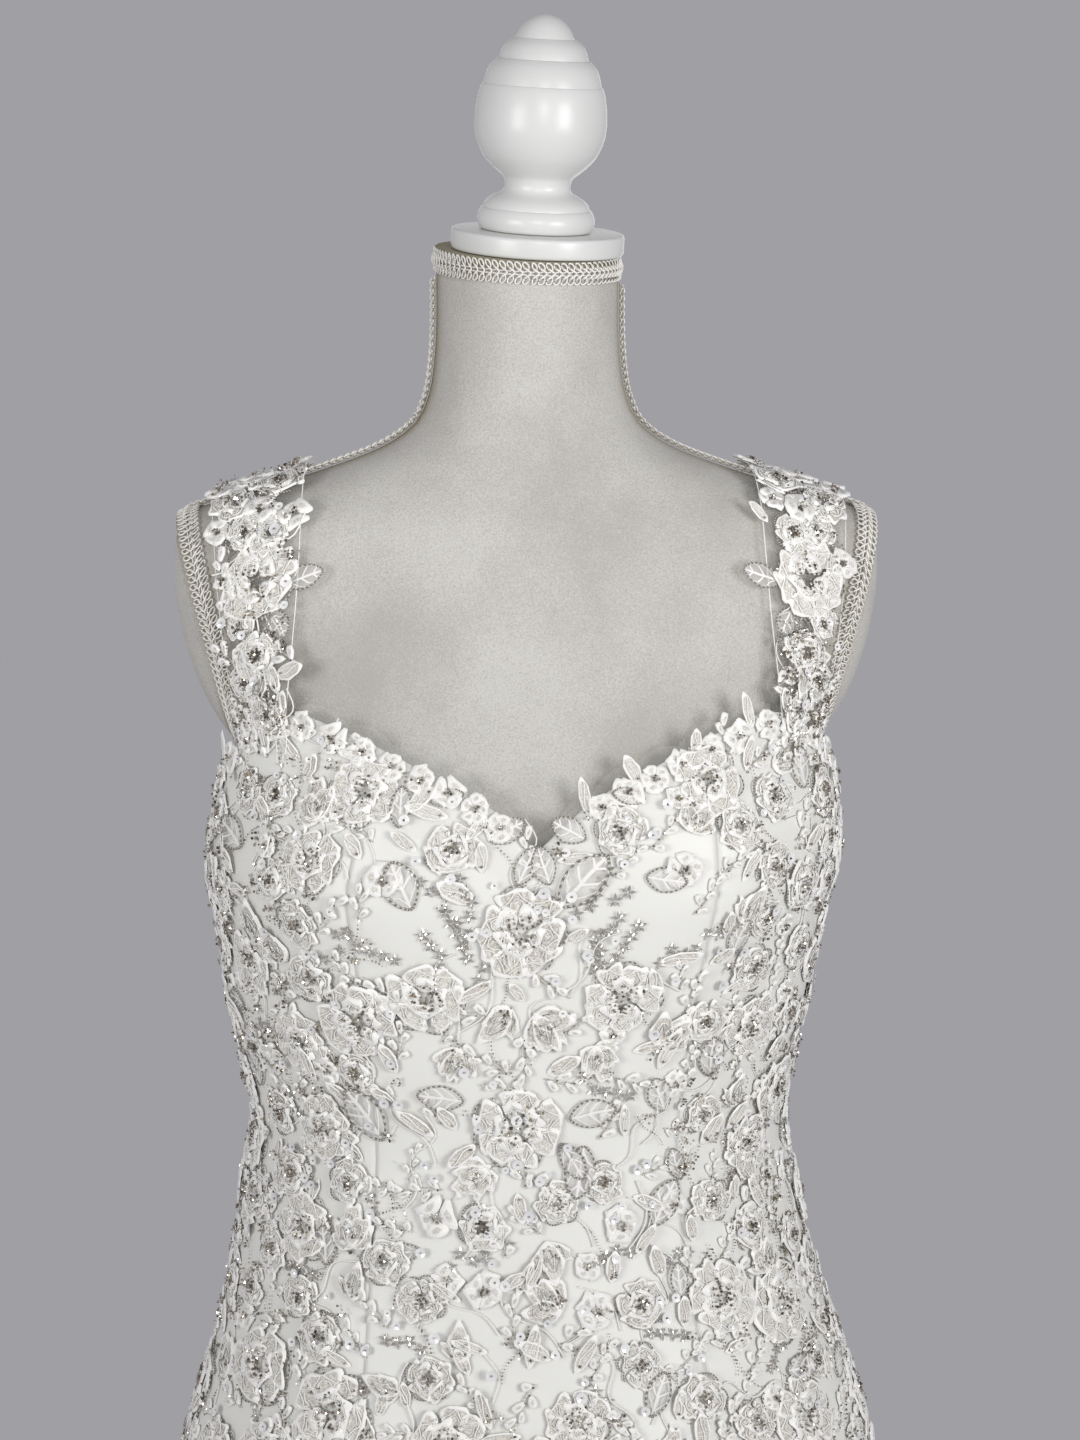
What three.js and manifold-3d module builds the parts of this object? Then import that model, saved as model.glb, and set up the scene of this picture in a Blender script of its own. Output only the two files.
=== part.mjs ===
// A floor-length wedding dress on a limbless dress form with a turned stand.
// Millimetres, +Z up. The front faces -Y, +X is the wearer's left, and the origin is on the floor
// under the pole. Angles go round the body from the centre front (0) over +X (90) to the centre back.
import * as THREE from "three";
import Module from "manifold-3d";

// Driving sizes
const SEAM_GAP = 0.3; // between neighbouring pieces
const LAP_GAP = 1.1; // under a piece that lies on the dress, over the panels' own facets
const CLOTH = 2; // satin, net overlay and stays together
const LACE = 1.2; // a single layer of lace or net
const HEM_Z = 12;
const BUST_Z = 1195;
const TORSO_BOTTOM_Z = 800;
const NECK_TOP_Z = 1530;
const NECK_TILT_FORWARD = THREE.MathUtils.degToRad(9);
const NECK_TILT_SIDE = THREE.MathUtils.degToRad(2.5);
const NECK_TILT_FROM_Z = 1450;
const NECK_CENTRE_Y = -7.5;
const BRAID_WIDTH = 12.5;
const BRAID_THICK = 2.6;
const BRAID_GAP = 0.7; // clears the form's own facets
const SHOULDER_BRAID_LOW_Z = 1390;
const CAP = { radius: 47, thick: 11, round: 2, aside: 5 };
const FINIAL_OFF_CENTRE = 3.5;
const POLE_RADIUS = 16;
const BASE_RADIUS = 200;

// Outer face of the dress at each height: half width, depth to the front and to the back, how square
// the section is (2 is an ellipse), how far each cup stands out of it and how far it is off to one side.
const DRESS_SECTIONS = [
  { z: HEM_Z, half: 402, front: 385, back: 408, square: 2.0, cup: 0, shift: 0 },
  { z: 250, half: 345, front: 318, back: 336, square: 2.0, cup: 0, shift: 0 },
  { z: 500, half: 283, front: 246, back: 264, square: 2.0, cup: 0, shift: 0 },
  { z: 700, half: 236, front: 190, back: 203, square: 2.0, cup: 0, shift: 0 },
  { z: 850, half: 199, front: 147, back: 154, square: 2.1, cup: 0, shift: 0 },
  { z: 906, half: 182, front: 133, back: 136, square: 2.1, cup: 0, shift: 0 },
  { z: 964, half: 165, front: 122, back: 116, square: 2.1, cup: 0, shift: -3 },
  { z: 1021, half: 154, front: 114, back: 101, square: 2.1, cup: 0, shift: -5 },
  { z: 1050, half: 149.5, front: 112, back: 97, square: 2.1, cup: 0, shift: -5 },
  { z: 1078, half: 154, front: 112, back: 96, square: 2.1, cup: 1, shift: -5 },
  { z: 1120, half: 162, front: 113, back: 98, square: 2.2, cup: 4, shift: -5 },
  { z: 1162, half: 168, front: 116, back: 102, square: 2.2, cup: 9, shift: -4 },
  { z: BUST_Z, half: 174, front: 118, back: 105, square: 2.3, cup: 12, shift: -3 },
  { z: 1236, half: 171, front: 114, back: 105, square: 2.4, cup: 8, shift: 0 },
  { z: 1262, half: 168, front: 110, back: 106, square: 2.5, cup: 3, shift: 0 },
  { z: 1300, half: 166, front: 107, back: 106, square: 2.6, cup: 0, shift: 0 },
];
const CUP_ANGLE = 40;
const CUP_SPREAD = 24;

// Upper edge of the bodice: sweetheart neckline, strap, armhole and back neckline.
const TOP_EDGE = [
  { angle: 0, z: 1219 },
  { angle: 12, z: 1242 },
  { angle: 22, z: 1255 },
  { angle: 32, z: 1265 },
  { angle: 40, z: 1274 },
  { angle: 48, z: 1282 },
  { angle: 55, z: 1287 },
  { angle: 62, z: 1284 },
  { angle: 70, z: 1272 },
  { angle: 77, z: 1258 },
  { angle: 84, z: 1245 },
  { angle: 92, z: 1239 },
  { angle: 105, z: 1238 },
  { angle: 118, z: 1246 },
  { angle: 130, z: 1258 },
  { angle: 145, z: 1260 },
  { angle: 160, z: 1250 },
  { angle: 180, z: 1244 },
];

// Standing folds of the skirt: where, how wide to each side and how deep at the hem.
const FOLDS = [
  { angle: -168, width: 9, depth: 24 },
  { angle: -143, width: 8, depth: 19 },
  { angle: -117, width: 9, depth: 23 },
  { angle: -84, width: 8, depth: 18 },
  { angle: -57, width: 9, depth: 22 },
  { angle: -31, width: 8, depth: 16 },
  { angle: -3, width: 9, depth: 21 },
  { angle: 25, width: 8, depth: 18 },
  { angle: 52, width: 9, depth: 23 },
  { angle: 81, width: 8, depth: 17 },
  { angle: 108, width: 9, depth: 22 },
  { angle: 137, width: 8, depth: 20 },
  { angle: 163, width: 9, depth: 25 },
];
const FOLDS_FROM_Z = 820;

// The panels of the princess cut, from seam to seam.
const PANELS = [
  { name: "dress_front", from: -40, to: 40, columns: 14 },
  { name: "dress_side_front_left", from: 40, to: 92, columns: 8 },
  { name: "dress_side_front_right", from: -92, to: -40, columns: 8 },
  { name: "dress_side_back_left", from: 92, to: 140, columns: 7 },
  { name: "dress_side_back_right", from: -140, to: -92, columns: 7 },
  { name: "dress_back_left", from: 140, to: 180, columns: 6 },
  { name: "dress_back_right", from: -180, to: -140, columns: 6 },
];
const PANEL_ROWS = 25;
const ROWS_CROWD_UP = 0.55; // under 1 puts more rows near the neckline than near the hem

// Lace edging of the neckline and the net that fills the notch of the sweetheart.
const LACE_EDGE = { from: 4, to: 55, columns: 17, below: 30, above: 5, scallop: 4, scallops: 5 };
const NET = { reach: 16, columns: 8, below: 10, centreAbove: 8, sideAbove: 1 };

// Closure of the centre back: a covered strip and its buttons.
const PLACKET = { halfWidth: 8, bottomZ: 950, rows: 12, columns: 3, thick: 1.2 };
const BUTTONS = { count: 12, firstBelowTop: 12, pitch: 23, radius: 5.5, height: 4.5, segments: 8 };

// Straps of net: the way over the shoulder, as an angle round a point inside it, with both edges.
const STRAP_CENTRE_Z = 1300;
const STRAP = [
  { turn: -24, inner: 132, outer: 158 },
  { turn: -8, inner: 130, outer: 161 },
  { turn: 20, inner: 126, outer: 165 },
  { turn: 50, inner: 122, outer: 169 },
  { turn: 90, inner: 120, outer: 173 },
  { turn: 130, inner: 117, outer: 168 },
  { turn: 160, inner: 111, outer: 158 },
  { turn: 188, inner: 104, outer: 146 },
  { turn: 206, inner: 98, outer: 138 },
];
const STRAP_STEEP = 0.45; // past this slope the bodice is no longer under the strap
const STRAP_ROWS = 26;
const STRAP_COLUMNS = 4;
const STRAP_LIFT = 5.2; // over the form, so that it clears the braid on the shoulder
const STRAP_RELEASE = { from: 14, slope: 0.3 }; // where it falls back to the form, and how fast

// The dress form at each height.
const FORM_SECTIONS = [
  { z: TORSO_BOTTOM_Z, half: 160, front: 112, back: 118, square: 2.2 },
  { z: 860, half: 168, front: 116, back: 128, square: 2.2 },
  { z: 950, half: 152, front: 106, back: 110, square: 2.1 },
  { z: 1050, half: 126, front: 94, back: 86, square: 2.1 },
  { z: 1120, half: 140, front: 103, back: 89, square: 2.1 },
  { z: BUST_Z, half: 156, front: 111, back: 96, square: 2.2 },
  { z: 1240, half: 150, front: 104, back: 97, square: 2.2 },
  { z: 1264, half: 164, front: 100, back: 97, square: 2.1 },
  { z: 1290, half: 180, front: 95, back: 95, square: 2.1 },
  { z: 1330, half: 208, front: 86, back: 86, square: 2.0 },
  { z: 1360, half: 222, front: 78, back: 76, square: 2.0 },
  { z: 1386, half: 196, front: 70, back: 64, square: 2.0 },
  { z: 1400, half: 152, front: 64, back: 58, square: 2.0 },
  { z: 1412, half: 113, front: 60, back: 54, square: 2.0 },
  { z: 1424, half: 81, front: 56, back: 51, square: 2.0 },
  { z: 1436, half: 63, front: 54, back: 48, square: 2.0 },
  { z: NECK_TILT_FROM_Z, half: 55, front: 53, back: 46, square: 2.0 },
  { z: 1470, half: 51, front: 54, back: 44, square: 2.0 },
  { z: NECK_TOP_Z, half: 49.5, front: 57, back: 42, square: 2.0 },
];
const FORM_COLUMNS = 36;
const FORM_ROW_ZS = [
  TORSO_BOTTOM_Z, 830, 860, 905, 950, 1000, 1050, 1085, 1120, 1160, BUST_Z, 1220, 1240, 1252, 1264,
  1290, 1310, 1330, 1345, 1360, 1374, 1386, 1393, 1400, 1406, 1412, 1418, 1424, 1430, 1436,
  NECK_TILT_FROM_Z, 1470, 1497, NECK_TOP_Z,
];

// The flat cut of each armhole, leaning out at the top, and its covered plate.
const ARMHOLE = { bottomZ: 1242, centreZ: 1321, lowX: 154.5, lean: THREE.MathUtils.degToRad(14.6) };
const ARM_PLATE = { halfWide: 38, halfTall: 58, thick: 3, dome: 11, segments: 24 };

const IVORY_CLOTH = new THREE.MeshStandardMaterial({ color: 0xe6e5e0, roughness: 0.6, metalness: 0 });
const LACE_CLOTH = new THREE.MeshStandardMaterial({ color: 0xecebe6, roughness: 0.8, metalness: 0 });
const FORM_JERSEY = new THREE.MeshStandardMaterial({ color: 0xc9c7c0, roughness: 0.9, metalness: 0 });
const GIMP_BRAID = new THREE.MeshStandardMaterial({ color: 0xe2ded4, roughness: 0.7, metalness: 0 });
const WHITE_PAINT = new THREE.MeshStandardMaterial({ color: 0xe8e9e7, roughness: 0.35, metalness: 0 });

const wasm = await Module();
wasm.setup();

const dress = sectionReader(DRESS_SECTIONS, "z");
const topEdge = sectionReader(TOP_EDGE, "angle");
const strap = sectionReader(STRAP, "turn");
const form = sectionReader(FORM_SECTIONS, "z");

// Reads a table at any height or angle, smoothly between its rows and level beyond its ends.
function sectionReader(rows, key) {
  const columns = Object.keys(rows[0]).filter((name) => name !== key);
  const keys = rows.map((row) => row[key]);
  const values = rows.flatMap((row) => columns.map((name) => row[name]));
  const spline = new THREE.CubicInterpolant(keys, values, columns.length);
  return (at) => {
    const inside = THREE.MathUtils.clamp(at, keys[0], keys[keys.length - 1]);
    const read = spline.evaluate(inside);
    return Object.fromEntries(columns.map((name, i) => [name, read[i]]));
  };
}

// Distance from the body's axis to a section at an angle in radians.
function sectionRadius(section, angle) {
  const depth = Math.cos(angle) > 0 ? section.front : section.back;
  const across = Math.abs(Math.sin(angle) / section.half) ** section.square;
  const along = Math.abs(Math.cos(angle) / depth) ** section.square;
  return (across + along) ** (-1 / section.square);
}

function aroundAxis(angle, radius, z) {
  return new THREE.Vector3(Math.sin(angle) * radius, -Math.cos(angle) * radius, z);
}

function degreesApart(a, b) {
  return THREE.MathUtils.euclideanModulo(a - b + 180, 360) - 180;
}

function bell(distance, spread) {
  return Math.exp(-((distance / spread) ** 2));
}

// Distance from the axis to the dress's outer face, with its cups and folds.
function dressRadius(angle, z) {
  const degrees = THREE.MathUtils.radToDeg(angle);
  const section = dress(z);
  const cup = section.cup * bell(Math.abs(degrees) - CUP_ANGLE, CUP_SPREAD);
  const drop = THREE.MathUtils.clamp((FOLDS_FROM_Z - z) / (FOLDS_FROM_Z - HEM_Z), 0, 1);
  const folds = FOLDS.reduce((sum, fold) => {
    return sum + fold.depth * bell(degreesApart(degrees, fold.angle), fold.width);
  }, 0);
  return sectionRadius(section, angle) + cup + folds * drop ** 1.5;
}

function formRadius(angle, z) {
  return sectionRadius(form(z), angle);
}

// A point of the dress's outer face, at an angle in degrees.
function dressPoint(degrees, z) {
  const angle = THREE.MathUtils.degToRad(degrees);
  const point = aroundAxis(angle, dressRadius(angle, z), z);
  point.x += dress(z).shift;
  return point;
}

// The outward normal of the dress at a point given by angle and height.
function dressNormal(degrees, z) {
  const step = 0.5;
  const across = dressPoint(degrees + step, z).sub(dressPoint(degrees - step, z));
  const up = dressPoint(degrees, z + step).sub(dressPoint(degrees, z - step));
  return across.cross(up).normalize();
}

function dressMoved(degrees, z, out) {
  return dressPoint(degrees, z).addScaledVector(dressNormal(degrees, z), out);
}

// How many degrees a length in millimetres covers at a place on the dress.
function degreesFor(length, degrees, z) {
  return length / dressPoint(degrees, z).distanceTo(dressPoint(degrees + 1, z));
}

// A closed wall between two grids of points, [row][column], rows going up and columns going round.
// A looped wall joins its last column to its first.
function wallGeometry(outer, inner, looped = false) {
  const rows = outer.length;
  const columns = outer[0].length;
  const count = rows * columns;
  const index = [];
  const at = (side, row, column) => side * count + row * columns + (column % columns);
  const quad = (a, b, c, d) => index.push(a, b, c, a, c, d);
  const lastColumn = looped ? columns : columns - 1;
  for (let row = 0; row < rows - 1; row++) {
    for (let column = 0; column < lastColumn; column++) {
      const [next, above] = [column + 1, row + 1];
      quad(at(0, row, column), at(0, row, next), at(0, above, next), at(0, above, column));
      quad(at(1, row, column), at(1, above, column), at(1, above, next), at(1, row, next));
    }
  }
  for (let column = 0; column < lastColumn; column++) {
    const next = column + 1;
    quad(at(0, 0, column), at(1, 0, column), at(1, 0, next), at(0, 0, next));
    quad(at(0, rows - 1, column), at(0, rows - 1, next), at(1, rows - 1, next), at(1, rows - 1, column));
  }
  for (let row = 0; row < rows - 1 && !looped; row++) {
    const [above, end] = [row + 1, columns - 1];
    quad(at(0, row, 0), at(0, above, 0), at(1, above, 0), at(1, row, 0));
    quad(at(0, row, end), at(1, row, end), at(1, above, end), at(0, above, end));
  }
  return indexedGeometry([...outer.flat(), ...inner.flat()], index);
}

function indexedGeometry(points, index) {
  const geometry = new THREE.BufferGeometry().setFromPoints(points);
  geometry.setIndex(index);
  return geometry;
}

// A grid of points from a function of two shares, across and up, each from 0 to 1.
function pointGrid(columns, rows, pointAt) {
  return Array.from({ length: rows + 1 }, (_, row) =>
    Array.from({ length: columns + 1 }, (_, column) => pointAt(column / columns, row / rows)),
  );
}

// A wall that lies on the dress: place gives angle and height for the shares across and up, and the
// wall runs between two distances out of the dress's outer face.
function wallOnDress(columns, rows, place, near, far) {
  const layer = (out) =>
    pointGrid(columns, rows, (across, up) => {
      const { degrees, z } = place(across, up);
      return dressMoved(degrees, z, out);
    });
  return wallGeometry(layer(far), layer(near));
}

function mesh(name, geometry, material) {
  geometry.computeVertexNormals();
  const made = new THREE.Mesh(geometry, material);
  made.name = name;
  return made;
}

function topEdgeZ(degrees) {
  return topEdge(Math.abs(degrees)).z;
}

function dressPanel({ name, from, to, columns }) {
  const place = (across, up) => {
    const degrees = THREE.MathUtils.lerp(from, to, across);
    const z = HEM_Z + (topEdgeZ(degrees) - HEM_Z) * up ** ROWS_CROWD_UP;
    const seam = degreesFor(SEAM_GAP / 2, degrees, z) * (across === 0 ? 1 : across === 1 ? -1 : 0);
    return { degrees: degrees + seam, z };
  };
  return mesh(name, wallOnDress(columns, PANEL_ROWS, place, -CLOTH, 0), IVORY_CLOTH);
}

// Lace along one half of the neckline, sewn over the cups with its scalloped edge above the satin.
function necklineLace(name, side) {
  const { from, to, columns, below, above, scallop, scallops } = LACE_EDGE;
  const [start, end] = side > 0 ? [from, to] : [-to, -from];
  const place = (across, up) => {
    const degrees = THREE.MathUtils.lerp(start, end, across);
    const share = (Math.abs(degrees) - from) / (to - from);
    const wave = scallop * Math.abs(Math.sin(Math.PI * scallops * share));
    const low = topEdgeZ(degrees) - below - wave;
    const high = topEdgeZ(degrees) + above + wave;
    return { degrees, z: THREE.MathUtils.lerp(low, high, up) };
  };
  return mesh(name, wallOnDress(columns, 3, place, LAP_GAP, LAP_GAP + LACE), LACE_CLOTH);
}

// Net behind the notch of the sweetheart, standing a little above its point.
function necklineNet() {
  const { reach, columns, below, centreAbove, sideAbove } = NET;
  const place = (across, up) => {
    const degrees = THREE.MathUtils.lerp(-reach, reach, across);
    const above = THREE.MathUtils.lerp(centreAbove, sideAbove, Math.abs(degrees) / reach);
    const edge = topEdgeZ(degrees);
    return { degrees, z: THREE.MathUtils.lerp(edge - below, edge + above, up) };
  };
  const near = -CLOTH - LAP_GAP - LACE;
  return mesh("neckline_net", wallOnDress(columns, 2, place, near, near + LACE), LACE_CLOTH);
}

function backPlacket() {
  const { halfWidth, bottomZ, rows, columns, thick } = PLACKET;
  const place = (across, up) => {
    const z = THREE.MathUtils.lerp(bottomZ, topEdgeZ(180), up);
    const reach = degreesFor(halfWidth, 180, z);
    return { degrees: 180 + THREE.MathUtils.lerp(-reach, reach, across), z };
  };
  return mesh("back_placket", wallOnDress(columns, rows, place, LAP_GAP, LAP_GAP + thick), IVORY_CLOTH);
}

// A covered button with a flat back, seated on the strip.
function backButton(number) {
  const { firstBelowTop, pitch, radius, height, segments } = BUTTONS;
  const dome = new THREE.Path();
  dome.moveTo(0, 0);
  dome.lineTo(radius * 0.9, 0);
  dome.lineTo(radius, height * 0.25);
  dome.quadraticCurveTo(radius * 0.9, height * 0.95, 0, height);
  const geometry = new THREE.LatheGeometry(lathePoints(dome, 3), segments);
  const z = topEdgeZ(180) - firstBelowTop - pitch * number;
  const normal = dressNormal(180, z);
  const button = mesh(`back_button_${String(number + 1).padStart(2, "0")}`, geometry, IVORY_CLOTH);
  button.position.copy(dressMoved(180, z, LAP_GAP + PLACKET.thick + SEAM_GAP));
  button.quaternion.setFromUnitVectors(new THREE.Vector3(0, 1, 0), normal);
  return button;
}

// A turned profile as points for a lathe, with both ends exactly on the axis.
function lathePoints(path, divisions) {
  const points = path.getPoints(divisions);
  points[0].x = 0;
  points[points.length - 1].x = 0;
  return points;
}

// A turned solid standing along +Z.
function turned(path, divisions, segments) {
  return new THREE.LatheGeometry(lathePoints(path, divisions), segments).rotateX(Math.PI / 2);
}

// Under 1 inside a body and over 1 outside it.
function bodyField(radiusAt, point) {
  return Math.hypot(point.x, point.y) / radiusAt(Math.atan2(point.x, -point.y), point.z);
}

function bodyNormal(radiusAt, point) {
  const step = 0.25;
  const slope = ["x", "y", "z"].map((axis) => {
    const ahead = point.clone();
    const behind = point.clone();
    ahead[axis] += step;
    behind[axis] -= step;
    return bodyField(radiusAt, ahead) - bodyField(radiusAt, behind);
  });
  return new THREE.Vector3(...slope).normalize();
}

// How far a ray runs from a point inside a body before it first leaves the body.
function rayOut(radiusAt, start, direction) {
  const isInside = (distance) => bodyField(radiusAt, alongRay(start, direction, distance)) < 1;
  const stride = 3;
  let outside = stride;
  while (isInside(outside)) outside += stride;
  let inside = outside - stride;
  for (let halving = 0; halving < 20; halving++) {
    const middle = (inside + outside) / 2;
    if (isInside(middle)) inside = middle;
    else outside = middle;
  }
  return inside;
}

function alongRay(start, direction, distance) {
  return start.clone().addScaledVector(direction, distance);
}

// A strap rests on the form's shoulder and laps over the outside of the bodice at both ends.
function strapPoint(side, across, along, out) {
  const turn = THREE.MathUtils.lerp(STRAP[0].turn, STRAP[STRAP.length - 1].turn, along);
  const { inner, outer } = strap(turn);
  const angle = THREE.MathUtils.degToRad(turn);
  const start = new THREE.Vector3(THREE.MathUtils.lerp(inner, outer, across), 0, STRAP_CENTRE_Z);
  const direction = new THREE.Vector3(0, -Math.cos(angle), Math.sin(angle));
  const onForm = rayOut(formRadius, start, direction) + STRAP_LIFT;
  const reach = Math.abs(direction.z) < STRAP_STEEP ? rayOut(dressRadius, start, direction) : 0;
  const edge = alongRay(start, direction, reach);
  const degrees = THREE.MathUtils.radToDeg(Math.atan2(edge.x, -edge.y));
  const above = Math.max(0, edge.z - topEdgeZ(degrees) - STRAP_RELEASE.from);
  const onDress = reach + LAP_GAP - above * STRAP_RELEASE.slope;
  const place = alongRay(start, direction, Math.max(onForm, onDress) + out);
  place.x *= side;
  return place;
}

function shoulderStrap(name, side) {
  const layer = (out) =>
    pointGrid(STRAP_COLUMNS, STRAP_ROWS, (across, along) =>
      strapPoint(side, side > 0 ? across : 1 - across, along, out),
    );
  return mesh(name, wallGeometry(layer(LACE), layer(0)), LACE_CLOTH);
}

// Leans the neck's upper end forward and a little to the wearer's left.
function neckTilted(point) {
  const share = (point.z - NECK_TILT_FROM_Z) / (NECK_TOP_Z - NECK_TILT_FROM_Z);
  const amount = THREE.MathUtils.clamp(share, 0, 1);
  const rise = point.y - NECK_CENTRE_Y;
  point.z += amount * (rise * Math.tan(NECK_TILT_FORWARD) - point.x * Math.tan(NECK_TILT_SIDE));
  return point;
}

function formRing(z, columns, out = 0) {
  return Array.from({ length: columns }, (_, column) => {
    const angle = (2 * Math.PI * column) / columns;
    return neckTilted(aroundAxis(angle, formRadius(angle, z) + out, z));
  });
}

// A solid through closed rings, bottom to top, closed flat at both ends.
function ringSolid(rings) {
  const columns = rings[0].length;
  const index = [];
  const centreOf = (ring) => {
    const sum = ring.reduce((total, point) => total.add(point), new THREE.Vector3());
    return sum.divideScalar(columns);
  };
  const bottom = rings.length * columns;
  const top = bottom + 1;
  for (let column = 0; column < columns; column++) {
    const next = (column + 1) % columns;
    const last = (rings.length - 1) * columns;
    for (let row = 0; row < rings.length - 1; row++) {
      const [low, high] = [row * columns, (row + 1) * columns];
      index.push(low + column, low + next, high + next, low + column, high + next, high + column);
    }
    index.push(bottom, next, column, top, last + column, last + next);
  }
  return indexedGeometry([...rings.flat(), centreOf(rings[0]), centreOf(rings[rings.length - 1])], index);
}

function asManifold(geometry) {
  return new wasm.Manifold(
    new wasm.Mesh({
      numProp: 3,
      vertProperties: new Float32Array(geometry.getAttribute("position").array),
      triVerts: new Uint32Array(geometry.index.array),
    }),
  );
}

function fromManifold(solid) {
  const cut = solid.getMesh();
  const geometry = new THREE.BufferGeometry();
  geometry.setAttribute("position", new THREE.BufferAttribute(cut.vertProperties, 3));
  geometry.setIndex(new THREE.BufferAttribute(cut.triVerts, 1));
  return geometry;
}

// The x of the armhole's flat cut at a height.
function armholeX(z) {
  return ARMHOLE.lowX + (z - ARMHOLE.bottomZ) * Math.tan(ARMHOLE.lean);
}

// A block that takes the end of the shoulder off along the armhole's plane.
function armholeBlock(side) {
  const [thick, long, tall] = [120, 400, 260];
  const slope = thick * Math.tan(ARMHOLE.lean);
  const outline = new THREE.Shape();
  outline.moveTo(armholeX(ARMHOLE.bottomZ), ARMHOLE.bottomZ);
  outline.lineTo(armholeX(ARMHOLE.bottomZ) + thick, ARMHOLE.bottomZ - slope);
  outline.lineTo(armholeX(ARMHOLE.bottomZ) + thick, ARMHOLE.bottomZ + tall);
  outline.lineTo(armholeX(ARMHOLE.bottomZ + tall), ARMHOLE.bottomZ + tall);
  const points = outline.getPoints();
  const ends = [-long / 2, long / 2];
  const rings = ends.map((y) => points.map((point) => new THREE.Vector3(side * point.x, y, point.y)));
  return ringSolid(side > 0 ? rings.reverse() : rings);
}

function formTorso() {
  const whole = asManifold(ringSolid(FORM_ROW_ZS.map((z) => formRing(z, FORM_COLUMNS))));
  const cut = [-1, 1].reduce((solid, side) => solid.subtract(asManifold(armholeBlock(side))), whole);
  return mesh("form_torso", fromManifold(cut), FORM_JERSEY);
}

// A domed oval plate in the armhole's plane.
function armPlate(name, side) {
  const { halfWide, halfTall, thick, dome, segments } = ARM_PLATE;
  const profile = new THREE.Path();
  profile.moveTo(0, 0);
  profile.lineTo(1, 0);
  profile.lineTo(1, thick);
  profile.quadraticCurveTo(0.6, thick + dome, 0, thick + dome);
  const geometry = new THREE.LatheGeometry(lathePoints(profile, 5), segments);
  geometry.scale(halfWide, 1, halfTall).rotateZ(-Math.PI / 2);
  const plate = mesh(name, geometry, FORM_JERSEY);
  const holder = new THREE.Group();
  holder.position.set(side * (armholeX(ARMHOLE.centreZ) + SEAM_GAP), 0, ARMHOLE.centreZ);
  holder.rotation.set(0, ARMHOLE.lean, side > 0 ? 0 : Math.PI, "ZYX");
  holder.add(plate);
  return holder;
}

// A flat braid between two lines of points on the form, lifted off it by a gap.
function braidWall(name, stations, pointAt, looped) {
  const layer = (out) =>
    Array.from({ length: stations }, (_, station) =>
      [0, 1].map((across) => {
        const point = pointAt(looped ? station / stations : station / (stations - 1), across);
        return point.addScaledVector(bodyNormal(formRadius, point), out);
      }),
    );
  const turnedGrid = (grid) => [0, 1].map((across) => grid.map((pair) => pair[across]));
  const [near, far] = [layer(BRAID_GAP), layer(BRAID_GAP + BRAID_THICK)].map(turnedGrid);
  return mesh(name, wallGeometry(far, near, looped), GIMP_BRAID);
}

function neckBraid() {
  const columns = FORM_COLUMNS;
  const layer = (out) => [BRAID_WIDTH + 0.5, 0.5].map((down) => formRing(NECK_TOP_Z - down, columns, out));
  const geometry = wallGeometry(layer(SEAM_GAP + BRAID_THICK), layer(SEAM_GAP), true);
  return mesh("form_neck_braid", geometry, GIMP_BRAID);
}

// Braid from under the neck's ring down its side and along the shoulder to the armhole. It turns where
// the form's own rows do.
function shoulderBraid(name, side) {
  const rows = FORM_ROW_ZS.filter((z) => z > SHOULDER_BRAID_LOW_Z && z < NECK_TOP_Z);
  const heights = [...rows, NECK_TOP_Z - BRAID_WIDTH - 5.5].sort((a, b) => a - b);
  const pointAt = (along, across) => {
    const z = heights[Math.round(along * (heights.length - 1))];
    const y = THREE.MathUtils.lerp(BRAID_WIDTH / 2, -BRAID_WIDTH / 2, across) * side;
    return settledOnForm(new THREE.Vector3(side * form(z).half, y, z));
  };
  return braidWall(name, heights.length, pointAt, false);
}

// Moves a point along the form's slope until it lies on the form.
function settledOnForm(point) {
  for (let pass = 0; pass < 6; pass++) {
    const normal = bodyNormal(formRadius, point);
    const field = bodyField(formRadius, point);
    const slope = (bodyField(formRadius, alongRay(point, normal, 0.5)) - field) / 0.5;
    point.addScaledVector(normal, (1 - field) / slope);
  }
  return point;
}

// Braid round the rim of an armhole, on the form's own surface. Each station starts on the rim, which a
// ray in the armhole's plane finds, and runs away from the hole along the form.
function armholeBraid(name, side) {
  const inset = 1.5;
  const centre = new THREE.Vector3(armholeX(ARMHOLE.centreZ), 0, ARMHOLE.centreZ);
  const [lean, upright] = [Math.sin(ARMHOLE.lean), Math.cos(ARMHOLE.lean)];
  const facing = new THREE.Vector3(upright, 0, -lean);
  const pointAt = (along, across) => {
    const turn = side * 2 * Math.PI * along;
    const rise = Math.sin(turn);
    const radial = new THREE.Vector3(lean * rise, -Math.cos(turn), upright * rise);
    const rim = alongRay(centre, radial, rayOut(formRadius, centre, radial));
    const normal = bodyNormal(formRadius, rim);
    const away = radial.multiplyScalar(0.6).addScaledVector(facing, -0.8);
    away.addScaledVector(normal, -away.dot(normal)).normalize();
    const point = settledOnForm(alongRay(rim, away, inset + across * BRAID_WIDTH));
    point.x *= side;
    return point;
  };
  return braidWall(name, 32, pointAt, true);
}

// Places a turned piece on the neck's tilted top, a height above it and a way off its centre.
function onNeckTop(piece, height, aside = 0) {
  const up = new THREE.Vector3(Math.tan(NECK_TILT_SIDE), -Math.tan(NECK_TILT_FORWARD), 1).normalize();
  piece.quaternion.setFromUnitVectors(new THREE.Vector3(0, 0, 1), up);
  const across = new THREE.Vector3(up.z, 0, -up.x).normalize();
  piece.position.set(0, NECK_CENTRE_Y, NECK_TOP_Z);
  piece.position.addScaledVector(up, height).addScaledVector(across, aside);
  return piece;
}

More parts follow.
